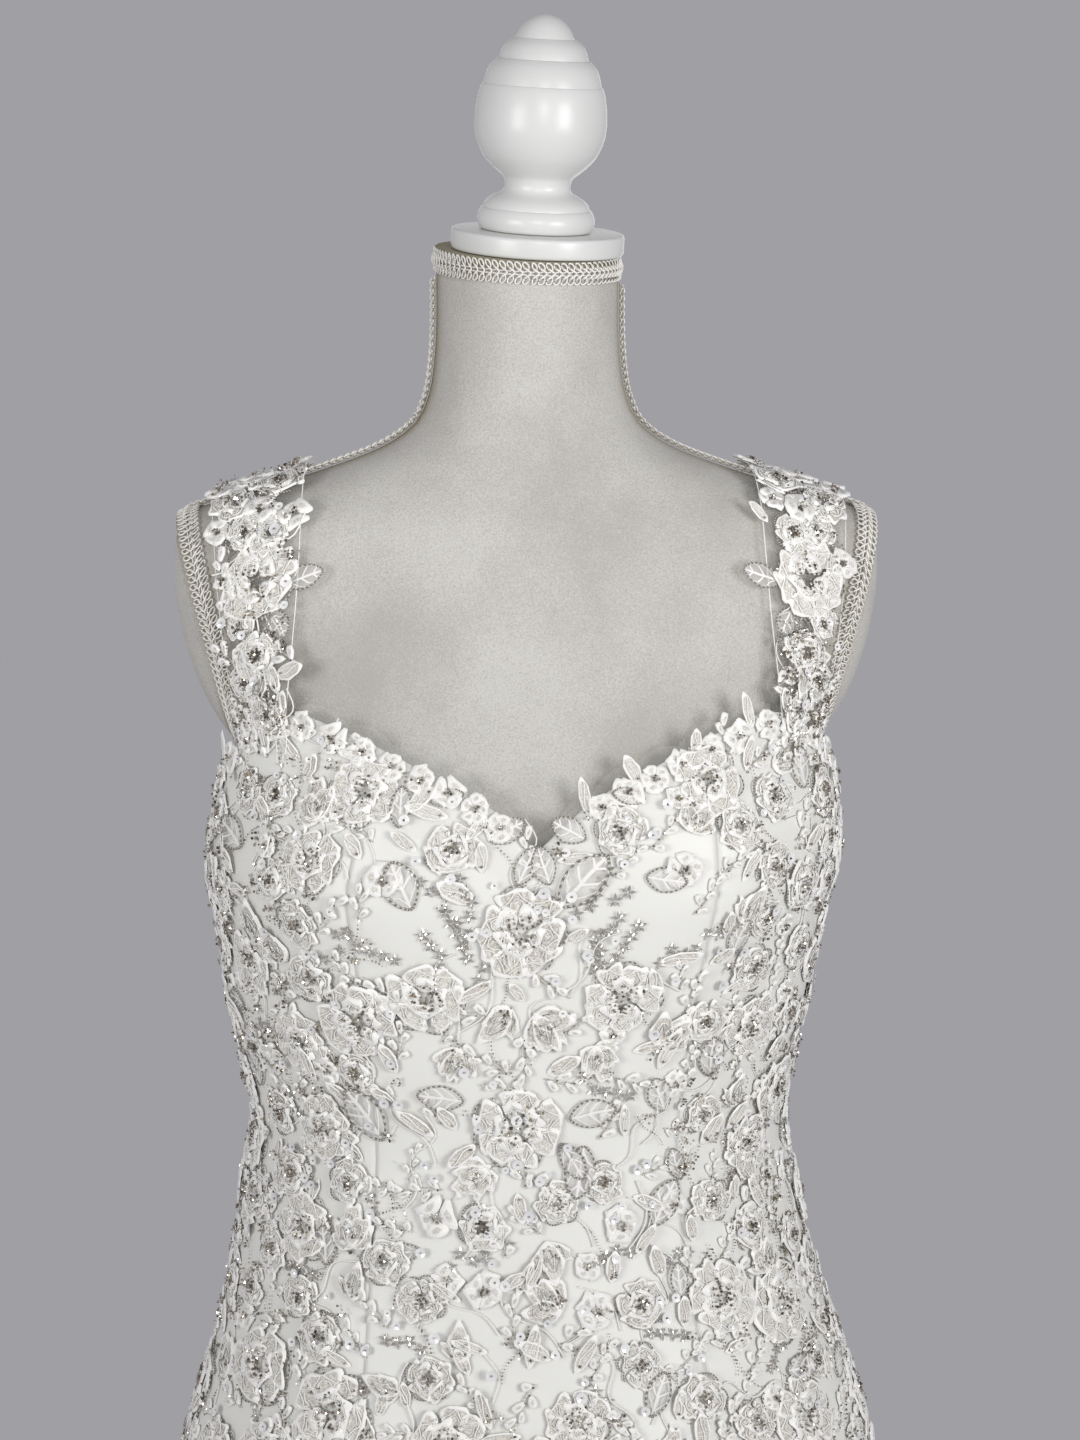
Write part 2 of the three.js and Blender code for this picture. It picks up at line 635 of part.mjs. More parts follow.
function neckCap() {
  const { radius, thick, round } = CAP;
  const profile = new THREE.Path();
  profile.moveTo(0, 0);
  profile.lineTo(radius - round, 0);
  profile.absarc(radius - round, round, round, -Math.PI / 2, 0);
  profile.absarc(radius - round, thick - round, round, 0, Math.PI / 2);
  profile.lineTo(0, thick);
  return onNeckTop(mesh("form_neck_cap", turned(profile, 2, 24), WHITE_PAINT), SEAM_GAP, CAP.aside);
}

// Turned finial: ring foot, waist, egg and three stepped caps.
function finial() {
  const profile = new THREE.Path();
  profile.moveTo(0, 0);
  profile.lineTo(30, 0);
  profile.quadraticCurveTo(33.5, 5.8, 30, 11.2);
  profile.lineTo(28.8, 11.7);
  profile.quadraticCurveTo(28.6, 15.5, 22.6, 18.3);
  profile.quadraticCurveTo(17.6, 20.4, 17.7, 22.8);
  profile.quadraticCurveTo(17.6, 26.6, 19.5, 28.6);
  profile.quadraticCurveTo(24.5, 32.2, 29, 37);
  profile.quadraticCurveTo(35.5, 45.5, 35.5, 57);
  profile.quadraticCurveTo(35.2, 68.5, 32.6, 75.6);
  profile.lineTo(31.8, 76.6);
  profile.quadraticCurveTo(30.4, 85, 25, 89.2);
  profile.lineTo(24, 90);
  profile.quadraticCurveTo(22.8, 96.6, 17.2, 99.8);
  profile.lineTo(15.8, 100.5);
  profile.quadraticCurveTo(11, 111.8, 0, 112.8);
  const turnedFinial = mesh("form_finial", turned(profile, 3, 18), WHITE_PAINT);
  return onNeckTop(turnedFinial, CAP.thick + 2 * SEAM_GAP, FINIAL_OFF_CENTRE);
}

function pole() {
  const [low, high] = [60 + SEAM_GAP, TORSO_BOTTOM_Z - 14 - SEAM_GAP];
  const profile = new THREE.Path();
  profile.moveTo(0, low);
  profile.lineTo(POLE_RADIUS, low);
  profile.lineTo(POLE_RADIUS, high);
  profile.lineTo(0, high);
  return mesh("stand_pole", turned(profile, 1, 20), WHITE_PAINT);
}

// Flange that carries the torso on the pole.
function poleFlange() {
  const [low, high] = [TORSO_BOTTOM_Z - 14, TORSO_BOTTOM_Z - SEAM_GAP];
  const profile = new THREE.Path();
  profile.moveTo(0, low);
  profile.lineTo(30, low);
  profile.lineTo(60, low + 8);
  profile.lineTo(60, high);
  profile.lineTo(0, high);
  return mesh("stand_flange", turned(profile, 1, 24), WHITE_PAINT);
}

// Round turned foot with a hub for the pole.
function standBase() {
  const profile = new THREE.Path();
  profile.moveTo(0, 0);
  profile.lineTo(BASE_RADIUS - 3, 0);
  profile.lineTo(BASE_RADIUS, 3);
  profile.lineTo(BASE_RADIUS, 14);
  profile.quadraticCurveTo(BASE_RADIUS, 20, BASE_RADIUS - 8, 20);
  profile.lineTo(90, 24);
  profile.quadraticCurveTo(40, 26, 34, 48);
  profile.lineTo(30, 60);
  profile.lineTo(0, 60);
  return mesh("stand_base", turned(profile, 3, 30), WHITE_PAINT);
}

const dressGroup = new THREE.Group();
dressGroup.add(...PANELS.map(dressPanel));
dressGroup.add(necklineLace("neckline_lace_left", 1), necklineLace("neckline_lace_right", -1));
dressGroup.add(necklineNet());
dressGroup.add(shoulderStrap("strap_left", 1), shoulderStrap("strap_right", -1));
dressGroup.add(backPlacket());
dressGroup.add(...Array.from({ length: BUTTONS.count }, (_, number) => backButton(number)));

const formGroup = new THREE.Group();
formGroup.add(formTorso(), neckBraid(), neckCap(), finial());
for (const [name, side] of [["left", 1], ["right", -1]]) {
  formGroup.add(armPlate(`form_arm_plate_${name}`, side));
  formGroup.add(shoulderBraid(`form_shoulder_braid_${name}`, side));
  formGroup.add(armholeBraid(`form_armhole_braid_${name}`, side));
}

const standGroup = new THREE.Group();
standGroup.add(poleFlange(), pole(), standBase());

const weddingDressOnForm = new THREE.Group();
weddingDressOnForm.add(dressGroup, formGroup, standGroup);

export default weddingDressOnForm;
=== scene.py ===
"""Looks of a lace wedding dress and the dress form it stands on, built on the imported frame."""
import logging
import math
from collections.abc import Callable, Iterable
from dataclasses import dataclass
from enum import Enum
from typing import NamedTuple

import bmesh
import bpy
import numpy as np
from mathutils import Matrix, Vector


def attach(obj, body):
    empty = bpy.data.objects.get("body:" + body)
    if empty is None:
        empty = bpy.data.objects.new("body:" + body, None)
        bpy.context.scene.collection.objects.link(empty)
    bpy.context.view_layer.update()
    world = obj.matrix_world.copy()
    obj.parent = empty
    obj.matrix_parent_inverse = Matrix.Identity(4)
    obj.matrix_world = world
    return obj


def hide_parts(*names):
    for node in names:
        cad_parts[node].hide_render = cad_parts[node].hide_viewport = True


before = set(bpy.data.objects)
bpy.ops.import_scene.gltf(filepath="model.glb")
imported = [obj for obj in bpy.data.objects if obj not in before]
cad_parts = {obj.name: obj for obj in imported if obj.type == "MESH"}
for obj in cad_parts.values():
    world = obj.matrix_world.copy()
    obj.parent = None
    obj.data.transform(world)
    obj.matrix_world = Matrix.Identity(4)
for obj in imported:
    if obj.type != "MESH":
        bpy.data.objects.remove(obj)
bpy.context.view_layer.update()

LOG = logging.getLogger("wedding_dress")
Array = np.ndarray
Chance = np.random.Generator
BMesh = bmesh.types.BMesh
Verts = list[bmesh.types.BMVert]
Material = bpy.types.Material
Piece = bpy.types.Object
Tree = bpy.types.NodeTree
Socket = bpy.types.NodeSocket
Settings = dict[str | int, object]
Place = Callable[[Array, Array], Array]
Path = Callable[[Array], tuple[Array, Array, Array]]
Outline = list[tuple[float, ...]]
Names = tuple[str, ...]

# Every size below is in millimetres. Pieces are turned to metres once, when they are made.
MM = 0.001
HEM_Z = 12.0
CLOTH = 2.0
LACE = 1.2
LAP_GAP = 1.1
SEAM_GAP = 0.3

# Height, half width, depth to the front, depth to the back, squareness, cup and sideways shift.
DRESS_SECTIONS = [
    (12, 402, 385, 408, 2.0, 0, 0),
    (250, 345, 318, 336, 2.0, 0, 0),
    (500, 283, 246, 264, 2.0, 0, 0),
    (700, 236, 190, 203, 2.0, 0, 0),
    (850, 199, 147, 154, 2.1, 0, 0),
    (906, 182, 133, 136, 2.1, 0, 0),
    (964, 165, 122, 116, 2.1, 0, -3),
    (1021, 154, 114, 101, 2.1, 0, -5),
    (1050, 149.5, 112, 97, 2.1, 0, -5),
    (1078, 154, 112, 96, 2.1, 1, -5),
    (1120, 162, 113, 98, 2.2, 4, -5),
    (1162, 168, 116, 102, 2.2, 9, -4),
    (1195, 174, 118, 105, 2.3, 12, -3),
    (1236, 171, 114, 105, 2.4, 8, 0),
    (1262, 168, 110, 106, 2.5, 3, 0),
    (1300, 166, 107, 106, 2.6, 0, 0),
]
CUP_ANGLE = 40.0
CUP_SPREAD = 24.0

# Angle from centre front and the height of the top edge there, the same on both sides.
TOP_EDGE = [
    (0, 1219), (12, 1242), (22, 1255), (32, 1265), (40, 1274), (48, 1282), (55, 1287), (62, 1284),
    (70, 1272), (77, 1258), (84, 1245), (92, 1239), (105, 1238), (118, 1246), (130, 1258),
    (145, 1260), (160, 1250), (180, 1244),
]

# Angle, width in degrees and depth at the hem of each fold of the skirt.
FOLDS = [
    (-168, 9, 24), (-143, 8, 19), (-117, 9, 23), (-84, 8, 18), (-57, 9, 22), (-31, 8, 16), (-3, 9, 21),
    (25, 8, 18), (52, 9, 23), (81, 8, 17), (108, 9, 22), (137, 8, 20), (163, 9, 25),
]
FOLDS_FROM_Z = 820.0

# Height, half width, depth to the front, depth to the back and squareness of the dress form.
FORM_SECTIONS = [
    (800, 160, 112, 118, 2.2),
    (860, 168, 116, 128, 2.2),
    (950, 152, 106, 110, 2.1),
    (1050, 126, 94, 86, 2.1),
    (1120, 140, 103, 89, 2.1),
    (1195, 156, 111, 96, 2.2),
    (1240, 150, 104, 97, 2.2),
    (1264, 164, 100, 97, 2.1),
    (1290, 180, 95, 95, 2.1),
    (1330, 208, 86, 86, 2),
    (1360, 222, 78, 76, 2),
    (1386, 196, 70, 64, 2),
    (1400, 152, 64, 58, 2),
    (1412, 113, 60, 54, 2),
    (1424, 81, 56, 51, 2),
    (1436, 63, 54, 48, 2),
    (1450, 55, 53, 46, 2),
    (1470, 51, 54, 44, 2),
    (1530, 49.5, 57, 42, 2),
]
FORM_BOTTOM_Z = 800.0
NECK_TOP_Z = 1530.0
NECK_TILT_FROM_Z = 1450.0
NECK_TILT_FORWARD = math.tan(math.radians(9))
NECK_TILT_SIDE = math.tan(math.radians(2.5))
NECK_CENTRE_Y = -7.5

# The finial from its foot up: radius and height of a corner, or of a curve's pull and end, then its parts.
FINIAL = [
    (0, 0), (29.4, 0), (30.2, 0.5), (33.6, 5.8, 30, 11, 8),
    (29.4, 11.5), (28.8, 11.7), (28.6, 15.5, 22.6, 18.3, 6), (17.6, 20.4, 17.7, 22.8, 5),
    (17.6, 26.6, 19.5, 28.6, 5), (24.5, 32.2, 29, 37, 5),
    (35.5, 45.5, 35.5, 57, 8), (35.2, 68.5, 32.7, 75.2, 8),
    (32.2, 75.9), (31.5, 76.1), (31.4, 76.7), (30.4, 85, 25.2, 88.9, 7),
    (24.6, 89.4), (23.8, 89.5), (23.7, 90.1), (22.8, 96.6, 17.3, 99.6, 6),
    (16.8, 100), (15.8, 100.1), (15.6, 100.6), (11, 111.8, 0, 112.8, 8),
]

# Turn about the shoulder's middle, from the front over the top, and the strap's inner and outer edge.
STRAP = [
    (-24, 132, 158), (-8, 130, 161), (20, 126, 165), (50, 122, 169), (90, 120, 173), (130, 117, 168),
    (160, 111, 158), (188, 104, 146), (206, 98, 138),
]
STRAP_CENTRE_Z = 1300.0
STRAP_LIFT = 5.2
STRAP_STEEP = 0.45
STRAP_RELEASE_FROM = 14.0
STRAP_RELEASE_SLOPE = 0.3

ARMHOLE_BOTTOM_Z = 1242.0
ARMHOLE_CENTRE_Z = 1321.0
ARMHOLE_LOW_X = 154.5
ARMHOLE_LEAN = math.radians(14.6)

WAVE_PERIOD = math.pi / 10  # a band texture of scale 1 repeats after this length


def smooth_step(low: float, high: float, value: Array) -> Array:
    """Rises softly from 0 to 1 between two values."""
    share = np.clip((value - low) / (high - low), 0, 1)
    return share * share * (3 - 2 * share)


def bell(distance: Array, spread: float) -> Array:
    """A soft bump of height 1 that falls off with distance."""
    return np.exp(-((distance / spread) ** 2))


def unit(vectors: Array) -> Array:
    """Vectors of the same directions and length 1."""
    return vectors / np.linalg.norm(vectors, axis=-1, keepdims=True)


def linear(colour: str) -> tuple[float, float, float, float]:
    """Turns an sRGB colour, #rrggbb, to the linear red, green, blue and full alpha that shaders take."""
    shares = [int(colour[place:place + 2], 16) / 255 for place in (1, 3, 5)]
    return *(c / 12.92 if c <= 0.04045 else ((c + 0.055) / 1.055) ** 2.4 for c in shares), 1.0


def armhole_x(z: Array) -> Array:
    """How far from the middle the armhole's plane lies at a height."""
    return ARMHOLE_LOW_X + (z - ARMHOLE_BOTTOM_Z) * math.tan(ARMHOLE_LEAN)


class SizeTable:
    """Sizes known at a few places and read smoothly between them."""

    def __init__(self, rows: Outline) -> None:
        """Keeps the sizes and how fast each changes at each place.

        Args:
            rows: A place followed by its sizes, in order of place.
        """
        table = np.array(rows, dtype=float)
        self.places = table[:, 0]
        self.sizes = table[:, 1:]
        steps = np.diff(self.sizes, axis=0) / np.diff(self.places)[:, None]
        self.slopes = np.vstack([steps[:1], (steps[1:] + steps[:-1]) / 2, steps[-1:]])

    def read(self, places: Array) -> Array:
        """Reads every size at each place.

        Args:
            places: Where to read, held within the table's own range.

        Returns:
            The sizes, as the last axis of the result.
        """
        at = np.clip(places, self.places[0], self.places[-1])
        row = np.clip(np.searchsorted(self.places, at, side="right") - 1, 0, len(self.places) - 2)
        span = (self.places[row + 1] - self.places[row])[..., None]
        share = (at - self.places[row])[..., None] / span
        square, cube = share**2, share**3
        ends = (2 * cube - 3 * square + 1) * self.sizes[row] + (3 * square - 2 * cube) * self.sizes[row + 1]
        leaving = (cube - 2 * square + share) * self.slopes[row] * span
        arriving = (cube - square) * self.slopes[row + 1] * span
        return ends + leaving + arriving


class Body:
    """A shape round the upright axis, known by its radius at each angle and height."""

    def radius(self, angle: Array, z: Array) -> Array:
        """Distance from the axis to the surface."""
        raise NotImplementedError

    def section_radius(self, sizes: Array, angle: Array) -> Array:
        """Radius of a squarish oval.

        Args:
            sizes: Half width, front depth, back depth and squareness as the last axis.
            angle: Angle from the front, in radians.

        Returns:
            The oval's radius at each angle.
        """
        half, front, back, square = (sizes[..., column] for column in range(4))
        depth = np.where(np.cos(angle) > 0, front, back)
        parts = (np.abs(np.sin(angle)) / half) ** square + (np.abs(np.cos(angle)) / depth) ** square
        return parts ** (-1 / square)

    def field(self, points: Array) -> Array:
        """How far out points lie, as a share of the radius there."""
        x, y, z = (points[..., axis] for axis in range(3))
        return np.hypot(x, y) / self.radius(np.arctan2(x, -y), z)

    def normal(self, points: Array) -> Array:
        """Unit directions straight out of the surface at points on or near it."""
        steps = np.eye(3) * 0.25
        return unit(np.stack([self.field(points + s) - self.field(points - s) for s in steps], axis=-1))

    def ray_out(self, start: Array, direction: Array) -> Array:
        """How far rays run from inside the body before they first leave it.

        Args:
            start: Where the rays start.
            direction: Their unit directions.

        Returns:
            The length of each ray inside the body.
        """
        stride, strides, halvings = 3.0, 150, 18
        far = np.full(start.shape[:-1], stride)
        for _ in range(strides):
            far = far + stride * (self.field(start + direction * far[..., None]) < 1)
        near = far - stride
        for _ in range(halvings):
            middle = (near + far) / 2
            inside = self.field(start + direction * middle[..., None]) < 1
            near = np.where(inside, middle, near)
            far = np.where(inside, far, middle)
        return near

    def settled(self, points: Array) -> Array:
        """Moves points along the surface's slope until they lie on it.

        Args:
            points: Places near the surface.

        Returns:
            Places on the surface.
        """
        for _ in range(6):
            normal = self.normal(points)
            here = self.field(points)
            slope = (self.field(points + normal * 0.5) - here) / 0.5
            points = points + normal * ((1 - here) / slope)[..., None]
        return points


class DressBody(Body):
    """The outer face of the dress."""

    def __init__(self) -> None:
        """Reads the tables of sections and of the top edge."""
        self.sections = SizeTable(DRESS_SECTIONS)
        self.top_edge = SizeTable(TOP_EDGE)

    def radius(self, angle: Array, z: Array) -> Array:
        """Distance from the axis to the cloth, with the cups and the folds of the skirt.

        Args:
            angle: Angles from the front, in radians.
            z: Heights.

        Returns:
            The distances.
        """
        sizes = self.sections.read(z)
        degrees = np.degrees(angle)
        cup = sizes[..., 4] * bell(np.abs(degrees) - CUP_ANGLE, CUP_SPREAD)
        drop = np.clip((FOLDS_FROM_Z - z) / (FOLDS_FROM_Z - HEM_Z), 0, 1) ** 1.5
        folds = 0.0
        for middle, width, depth in FOLDS:
            folds = folds + depth * bell((degrees - middle + 180) % 360 - 180, width)
        return self.section_radius(sizes, angle) + cup + folds * drop

    def points(self, degrees: Array, z: Array) -> Array:
        """Places on the cloth's outer face.

        Args:
            degrees: Angles from centre front towards the wearer's left.
            z: Heights.

        Returns:
            Points in the frame.
        """
        angle = np.radians((degrees + 180) % 360 - 180)
        radius = self.radius(angle, z)
        shift = self.sections.read(z)[..., 5]
        return np.stack([np.sin(angle) * radius + shift, -np.cos(angle) * radius, z + 0 * angle], axis=-1)

    def top(self, degrees: Array) -> Array:
        """Height of the top edge at an angle."""
        return self.top_edge.read(np.abs((np.asarray(degrees) + 180) % 360 - 180))[..., 0]


class FormBody(Body):
    """The jersey surface of the dress form."""

    def __init__(self) -> None:
        """Reads the table of sections."""
        self.sections = SizeTable(FORM_SECTIONS)

    def radius(self, angle: Array, z: Array) -> Array:
        """Distance from the axis to the jersey."""
        return self.section_radius(self.sections.read(z), angle)

    def neck_tilted(self, points: Array) -> Array:
        """Leans the upper end of the neck forward and a little to the wearer's left.

        Args:
            points: Places on the upright neck.

        Returns:
            The places on the leaning neck.
        """
        x, y, z = (points[..., axis] for axis in range(3))
        amount = np.clip((z - NECK_TILT_FROM_Z) / (NECK_TOP_Z - NECK_TILT_FROM_Z), 0, 1)
        rise = (y - NECK_CENTRE_Y) * NECK_TILT_FORWARD - x * NECK_TILT_SIDE
        return np.stack([x, y, z + amount * rise], axis=-1)

    def ring(self, angle: Array, z: Array, out: float) -> Array:
        """Places round the form, lifted off it.

        Args:
            angle: Angles from the front, in radians.
            z: Heights.
            out: How far they are lifted.

        Returns:
            Points in the frame.
        """
        radius = self.radius(angle, z) + out
        upright = np.stack([np.sin(angle) * radius, -np.cos(angle) * radius, z + 0 * angle], axis=-1)
        return self.neck_tilted(upright)


class Chart:
    """A curved face that trimmings are laid on, with two coordinates of its own."""

    step = (0.5, 0.5)

    def points(self, a: Array, b: Array) -> Array:
        """Places on the face."""
        raise NotImplementedError

    def frames(self, a: Array, b: Array) -> tuple[Array, Array, Array, Array]:
        """Places on the face and the directions there.

        Args:
            a: The coordinate across.
            b: The coordinate upwards.

        Returns:
            Points, millimetres per unit of a, millimetres per unit of b, and unit normals.
        """
        step_a, step_b = self.step
        across = (self.points(a + step_a, b) - self.points(a - step_a, b)) / (2 * step_a)
        upward = (self.points(a, b + step_b) - self.points(a, b - step_b)) / (2 * step_b)
        return self.points(a, b), across, upward, unit(np.cross(across, upward))

    def lay(self, local: Array, a: Array, b: Array) -> Array:
        """Bends flat trimmings onto the face.

        Args:
            local: Points of each copy: across, up and out from its middle.
            a: Where each copy's middle lies across.
            b: Where it lies upwards.

        Returns:
            The points in the frame, in the same shape.
        """
        _, across, upward, _ = self.frames(a, b)
        place_a = a[:, None] + local[..., 0] / np.linalg.norm(across, axis=-1)[:, None]
        place_b = b[:, None] + local[..., 1] / np.linalg.norm(upward, axis=-1)[:, None]
        points, _, _, normals = self.frames(place_a, place_b)
        return points + normals * local[..., 2:]


@dataclass
class DressChart(Chart):
    """The dress's outer face by angle and height."""

    dress: DressBody

    def points(self, a: Array, b: Array) -> Array:
        """Places at angles and heights."""
        return self.dress.points(a, b)


class StrapChart(Chart):
    """A strap's outer face by its share across and its share along, from the front over the shoulder."""

    step = (0.04, 0.008)
    past = (0.8, 0.03)  # how far the face goes on past the strap's edges and past its ends

    def __init__(self, dress: DressBody, form: FormBody, side: int) -> None:
        """Finds where the strap lies on the form and laps over the bodice.

        Args:
            dress: The bodice under the strap's ends.
            form: The shoulder under the rest.
            side: 1 for the wearer's left, -1 for the right.
        """
        lines = [np.linspace(-past, 1 + past, count) for past, count in zip(self.past, (40, 132))]
        share, place = np.meshgrid(*lines, indexing="ij")
        turn = STRAP[0][0] + (STRAP[-1][0] - STRAP[0][0]) * place
        inner, outer = np.moveaxis(SizeTable(STRAP).read(turn), -1, 0)
        from_inside = share if side > 0 else 1 - share
        across = inner + (outer - inner) * from_inside
        start = np.stack([across, 0 * turn, 0 * turn + STRAP_CENTRE_Z], axis=-1)
        angle = np.radians(turn)
        direction = np.stack([0 * angle, -np.cos(angle), np.sin(angle)], axis=-1)
        on_form = form.ray_out(start, direction) + STRAP_LIFT
        reach = np.where(np.abs(direction[..., 2]) < STRAP_STEEP, dress.ray_out(start, direction), 0)
        edge = start + direction * reach[..., None]
        degrees = np.degrees(np.arctan2(edge[..., 0], -edge[..., 1]))
        above = np.maximum(0, edge[..., 2] - dress.top(degrees) - STRAP_RELEASE_FROM)
        on_dress = reach + LAP_GAP - above * STRAP_RELEASE_SLOPE
        out = np.maximum(on_form, on_dress) + LACE
        self.grid = start + direction * out[..., None]
        self.grid[..., 0] *= side

    def points(self, a: Array, b: Array) -> Array:
        """Places at shares across and along.

        Args:
            a: Shares across.
            b: Shares along.

        Returns:
            Points in the frame.
        """
        places = []
        for share, past, count in zip((a, b), self.past, self.grid.shape):
            line = (np.clip(share, -past, 1 + past) + past) / (1 + 2 * past) * (count - 1)
            low = np.minimum(line.astype(int), count - 2)
            places += [low, (line - low)[..., None]]
        column, side, row, up = places
        near = self.grid[column, row] * (1 - side) + self.grid[column + 1, row] * side
        far = self.grid[column, row + 1] * (1 - side) + self.grid[column + 1, row + 1] * side
        return near * (1 - up) + far * up


# Meshes

def shaped_grid(bm: BMesh, columns: int, rows: int, place: Place) -> Verts:
    """Adds a grid to a mesh and moves its points to a shape.

    Args:
        bm: The mesh that takes the grid.
        columns: Faces across.
        rows: Faces upwards.
        place: Gives the points for shares across and upwards.

    Returns:
        The grid's vertices.
    """
    bm.loops.layers.uv.verify()
    verts = bmesh.ops.create_grid(bm, x_segments=columns, y_segments=rows, size=0.5, calc_uvs=True)["verts"]
    flat = np.array([vert.co for vert in verts]) + 0.5
    for vert, point in zip(verts, place(flat[:, 0], flat[:, 1])):
        vert.co = point
    return verts


def spun(bm: BMesh, outline: Outline, sides: int) -> Verts:
    """Turns a profile about the upright axis, as on a lathe.

    Args:
        bm: The mesh that takes the shape.
        outline: Radius and height of each corner, or of a curve's pull and end, then the curve's parts.
        sides: Faces round the axis.

    Returns:
        The shape's vertices.
    """
    profile: list[Array] = []
    for radius, z, *curve in outline:
        pull = np.array([radius, z], dtype=float)
        if not curve:
            profile.append(pull)
            continue
        start, end, parts = profile[-1], np.array(curve[:2]), curve[2]
        for t in np.arange(1, parts + 1) / parts:
            profile.append((1 - t) ** 2 * start + 2 * t * (1 - t) * pull + t**2 * end)
    before = set(bm.verts)
    verts = [bm.verts.new((radius, 0, z)) for radius, z in profile]
    edges = [bm.edges.new(pair) for pair in zip(verts, verts[1:])]
    whole_turn = {"cent": (0, 0, 0), "axis": (0, 0, 1), "angle": math.tau, "use_merge": True}
    bmesh.ops.spin(bm, geom=verts + edges, steps=sides, **whole_turn)
    bmesh.ops.remove_doubles(bm, verts=[vert for vert in bm.verts if vert not in before], dist=0.001)
    made = [vert for vert in bm.verts if vert not in before]
    bmesh.ops.recalc_face_normals(bm, faces=list({f for vert in made for f in vert.link_faces}))
    return made


def tube(
    bm: BMesh,
    path: Path,
    radius: float,
    segments: int,
    sides: int,
    away: tuple[float, float, float] = (0.0, 0.0, 1.0),
    step: float = 0.01,
) -> Verts:
    """Adds a cord that follows a path.

    Args:
        bm: The mesh that takes the cord.
        path: Gives places across, up and out for shares along the cord.
        radius: The cord's radius.
        segments: Faces along it.
        sides: Faces round it.
        away: A direction that the cord never takes.
        step: The share over which its direction is taken.

    Returns:
        The cord's vertices.
    """

    def place(u: Array, v: Array) -> Array:
        """Gives the cord's points."""
        before, here, after = (np.stack(path(u + move), axis=-1) for move in (-step, 0, step))
        forward = unit(after - before)
        side = unit(np.cross(forward, np.array(away)))
        turn = (v * math.tau)[:, None]
        return here + radius * (np.cos(turn) * side + np.sin(turn) * np.cross(side, forward))

    verts = shaped_grid(bm, segments, sides, place)
    bmesh.ops.remove_doubles(bm, verts=verts, dist=0.02)
    return [vert for vert in verts if vert.is_valid]


def ride_piece(name: str, mesh: bpy.types.Mesh, material: Material, slot: str, nodes: Names) -> Piece:
    """Puts a mesh in the scene as a piece of the part.

    Args:
        name: The piece's name.
        mesh: Its mesh, in metres.
        material: Its finish.
        slot: The record's material slot; not used.
        nodes: The nodes that the piece stands for.

    Returns:
        The piece.
    """
    mesh.materials.append(material)
    piece = bpy.data.objects.new(name, mesh)
    bpy.context.scene.collection.objects.link(piece)
    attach(piece, "root")
    if nodes:
        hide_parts(*nodes)
    LOG.info("%s: %d faces", name, len(mesh.polygons))
    return piece


def make_piece(
    name: str, bm: BMesh, material: Material, slot: str, nodes: Names, crease: float = 180.0
) -> Piece:
    """Turns a mesh in millimetres to a finished piece that rides on the part.

    Args:
        name: The piece's name.
        bm: Its mesh, which is used up.
        material: Its finish.
        slot: The record's material slot; not used.
        nodes: The nodes that the piece stands for.
        crease: Edges sharper than this many degrees stay crisp.

    Returns:
        The piece.
    """
    bmesh.ops.scale(bm, vec=(MM, MM, MM), verts=bm.verts)
    mesh = bpy.data.meshes.new(name)
    for edge in bm.edges:
        edge.smooth = len(edge.link_faces) != 2 or edge.calc_face_angle() < math.radians(crease)
    for face in bm.faces:
        face.smooth = True
    bm.to_mesh(mesh)
    bm.free()
    return ride_piece(name, mesh, material, slot, nodes)


def measure_cloth(bm: BMesh) -> None:
    """Writes each cloth point's own distances round and up the dress into its UV map, in metres.

    Args:
        bm: A mesh in millimetres that goes round the upright axis.
    """
    layer = bm.loops.layers.uv.verify()
    for face in bm.faces:
        for loop in face.loops:
            x, y, z = loop.vert.co
            loop[layer].uv = (math.atan2(x, -y) * math.hypot(x, y) * MM, z * MM)


# Finishes

def add_node(
    tree: Tree, kind: str, inputs: Settings | None = None, output: int | str = 0, **settings: object
) -> Socket:
    """Adds a shader node, sets it up and fills or links its sockets.

    Args:
        tree: The material's node tree.
        kind: The node's type.
        inputs: Socket name or number, with a value, a hex colour or the output that feeds it.
        output: The output that is asked for.
        **settings: The node's own properties.

    Returns:
        The node's output.
    """
    node = tree.nodes.new(f"ShaderNode{kind}")
    for name, value in settings.items():
        setattr(node, name, value)
    for socket, value in (inputs or {}).items():
        if isinstance(value, Socket):
            tree.links.new(value, node.inputs[socket])
        else:
            node.inputs[socket].default_value = linear(value) if isinstance(value, str) else value
    return node.outputs[output]


class Finish:
    """A real material: a pattern of nodes that leads to one shader."""

    name: str

    def look(self, tree: Tree) -> Settings:
        """Adds the finish's pattern, and gives the shader's values and the outputs that feed it."""
        raise NotImplementedError

    def make(self) -> Material:
        """Builds the material.

        Returns:
            The material.
        """
        material = bpy.data.materials.new(self.name)
        material.use_nodes = True
        tree = material.node_tree
        tree.nodes.clear()
        shader = add_node(tree, "BsdfPrincipled", self.look(tree))
        tree.links.new(shader, tree.nodes.new("ShaderNodeOutputMaterial").inputs["Surface"])
        return material

    def net(self, tree: Tree, cloth: Socket, cell: float, lean: float) -> Socket:
        """Adds the crossing threads of a net.

        Args:
            tree: The material's node tree.
            cloth: The cloth's own coordinates.
            cell: The size of a cell.
            lean: The lean of the threads, in radians.

        Returns:
            How near each point is to a thread.
        """
        lines = {}
        scale = WAVE_PERIOD / (cell * MM)
        for number, turn in enumerate((lean, -lean)):
            turned = add_node(tree, "Mapping", {"Vector": cloth, "Rotation": (0, 0, turn)})
            lines[number] = add_node(tree, "TexWave", {"Vector": turned, "Scale": scale}, 1)
        return add_node(tree, "Math", lines, operation="MAXIMUM")


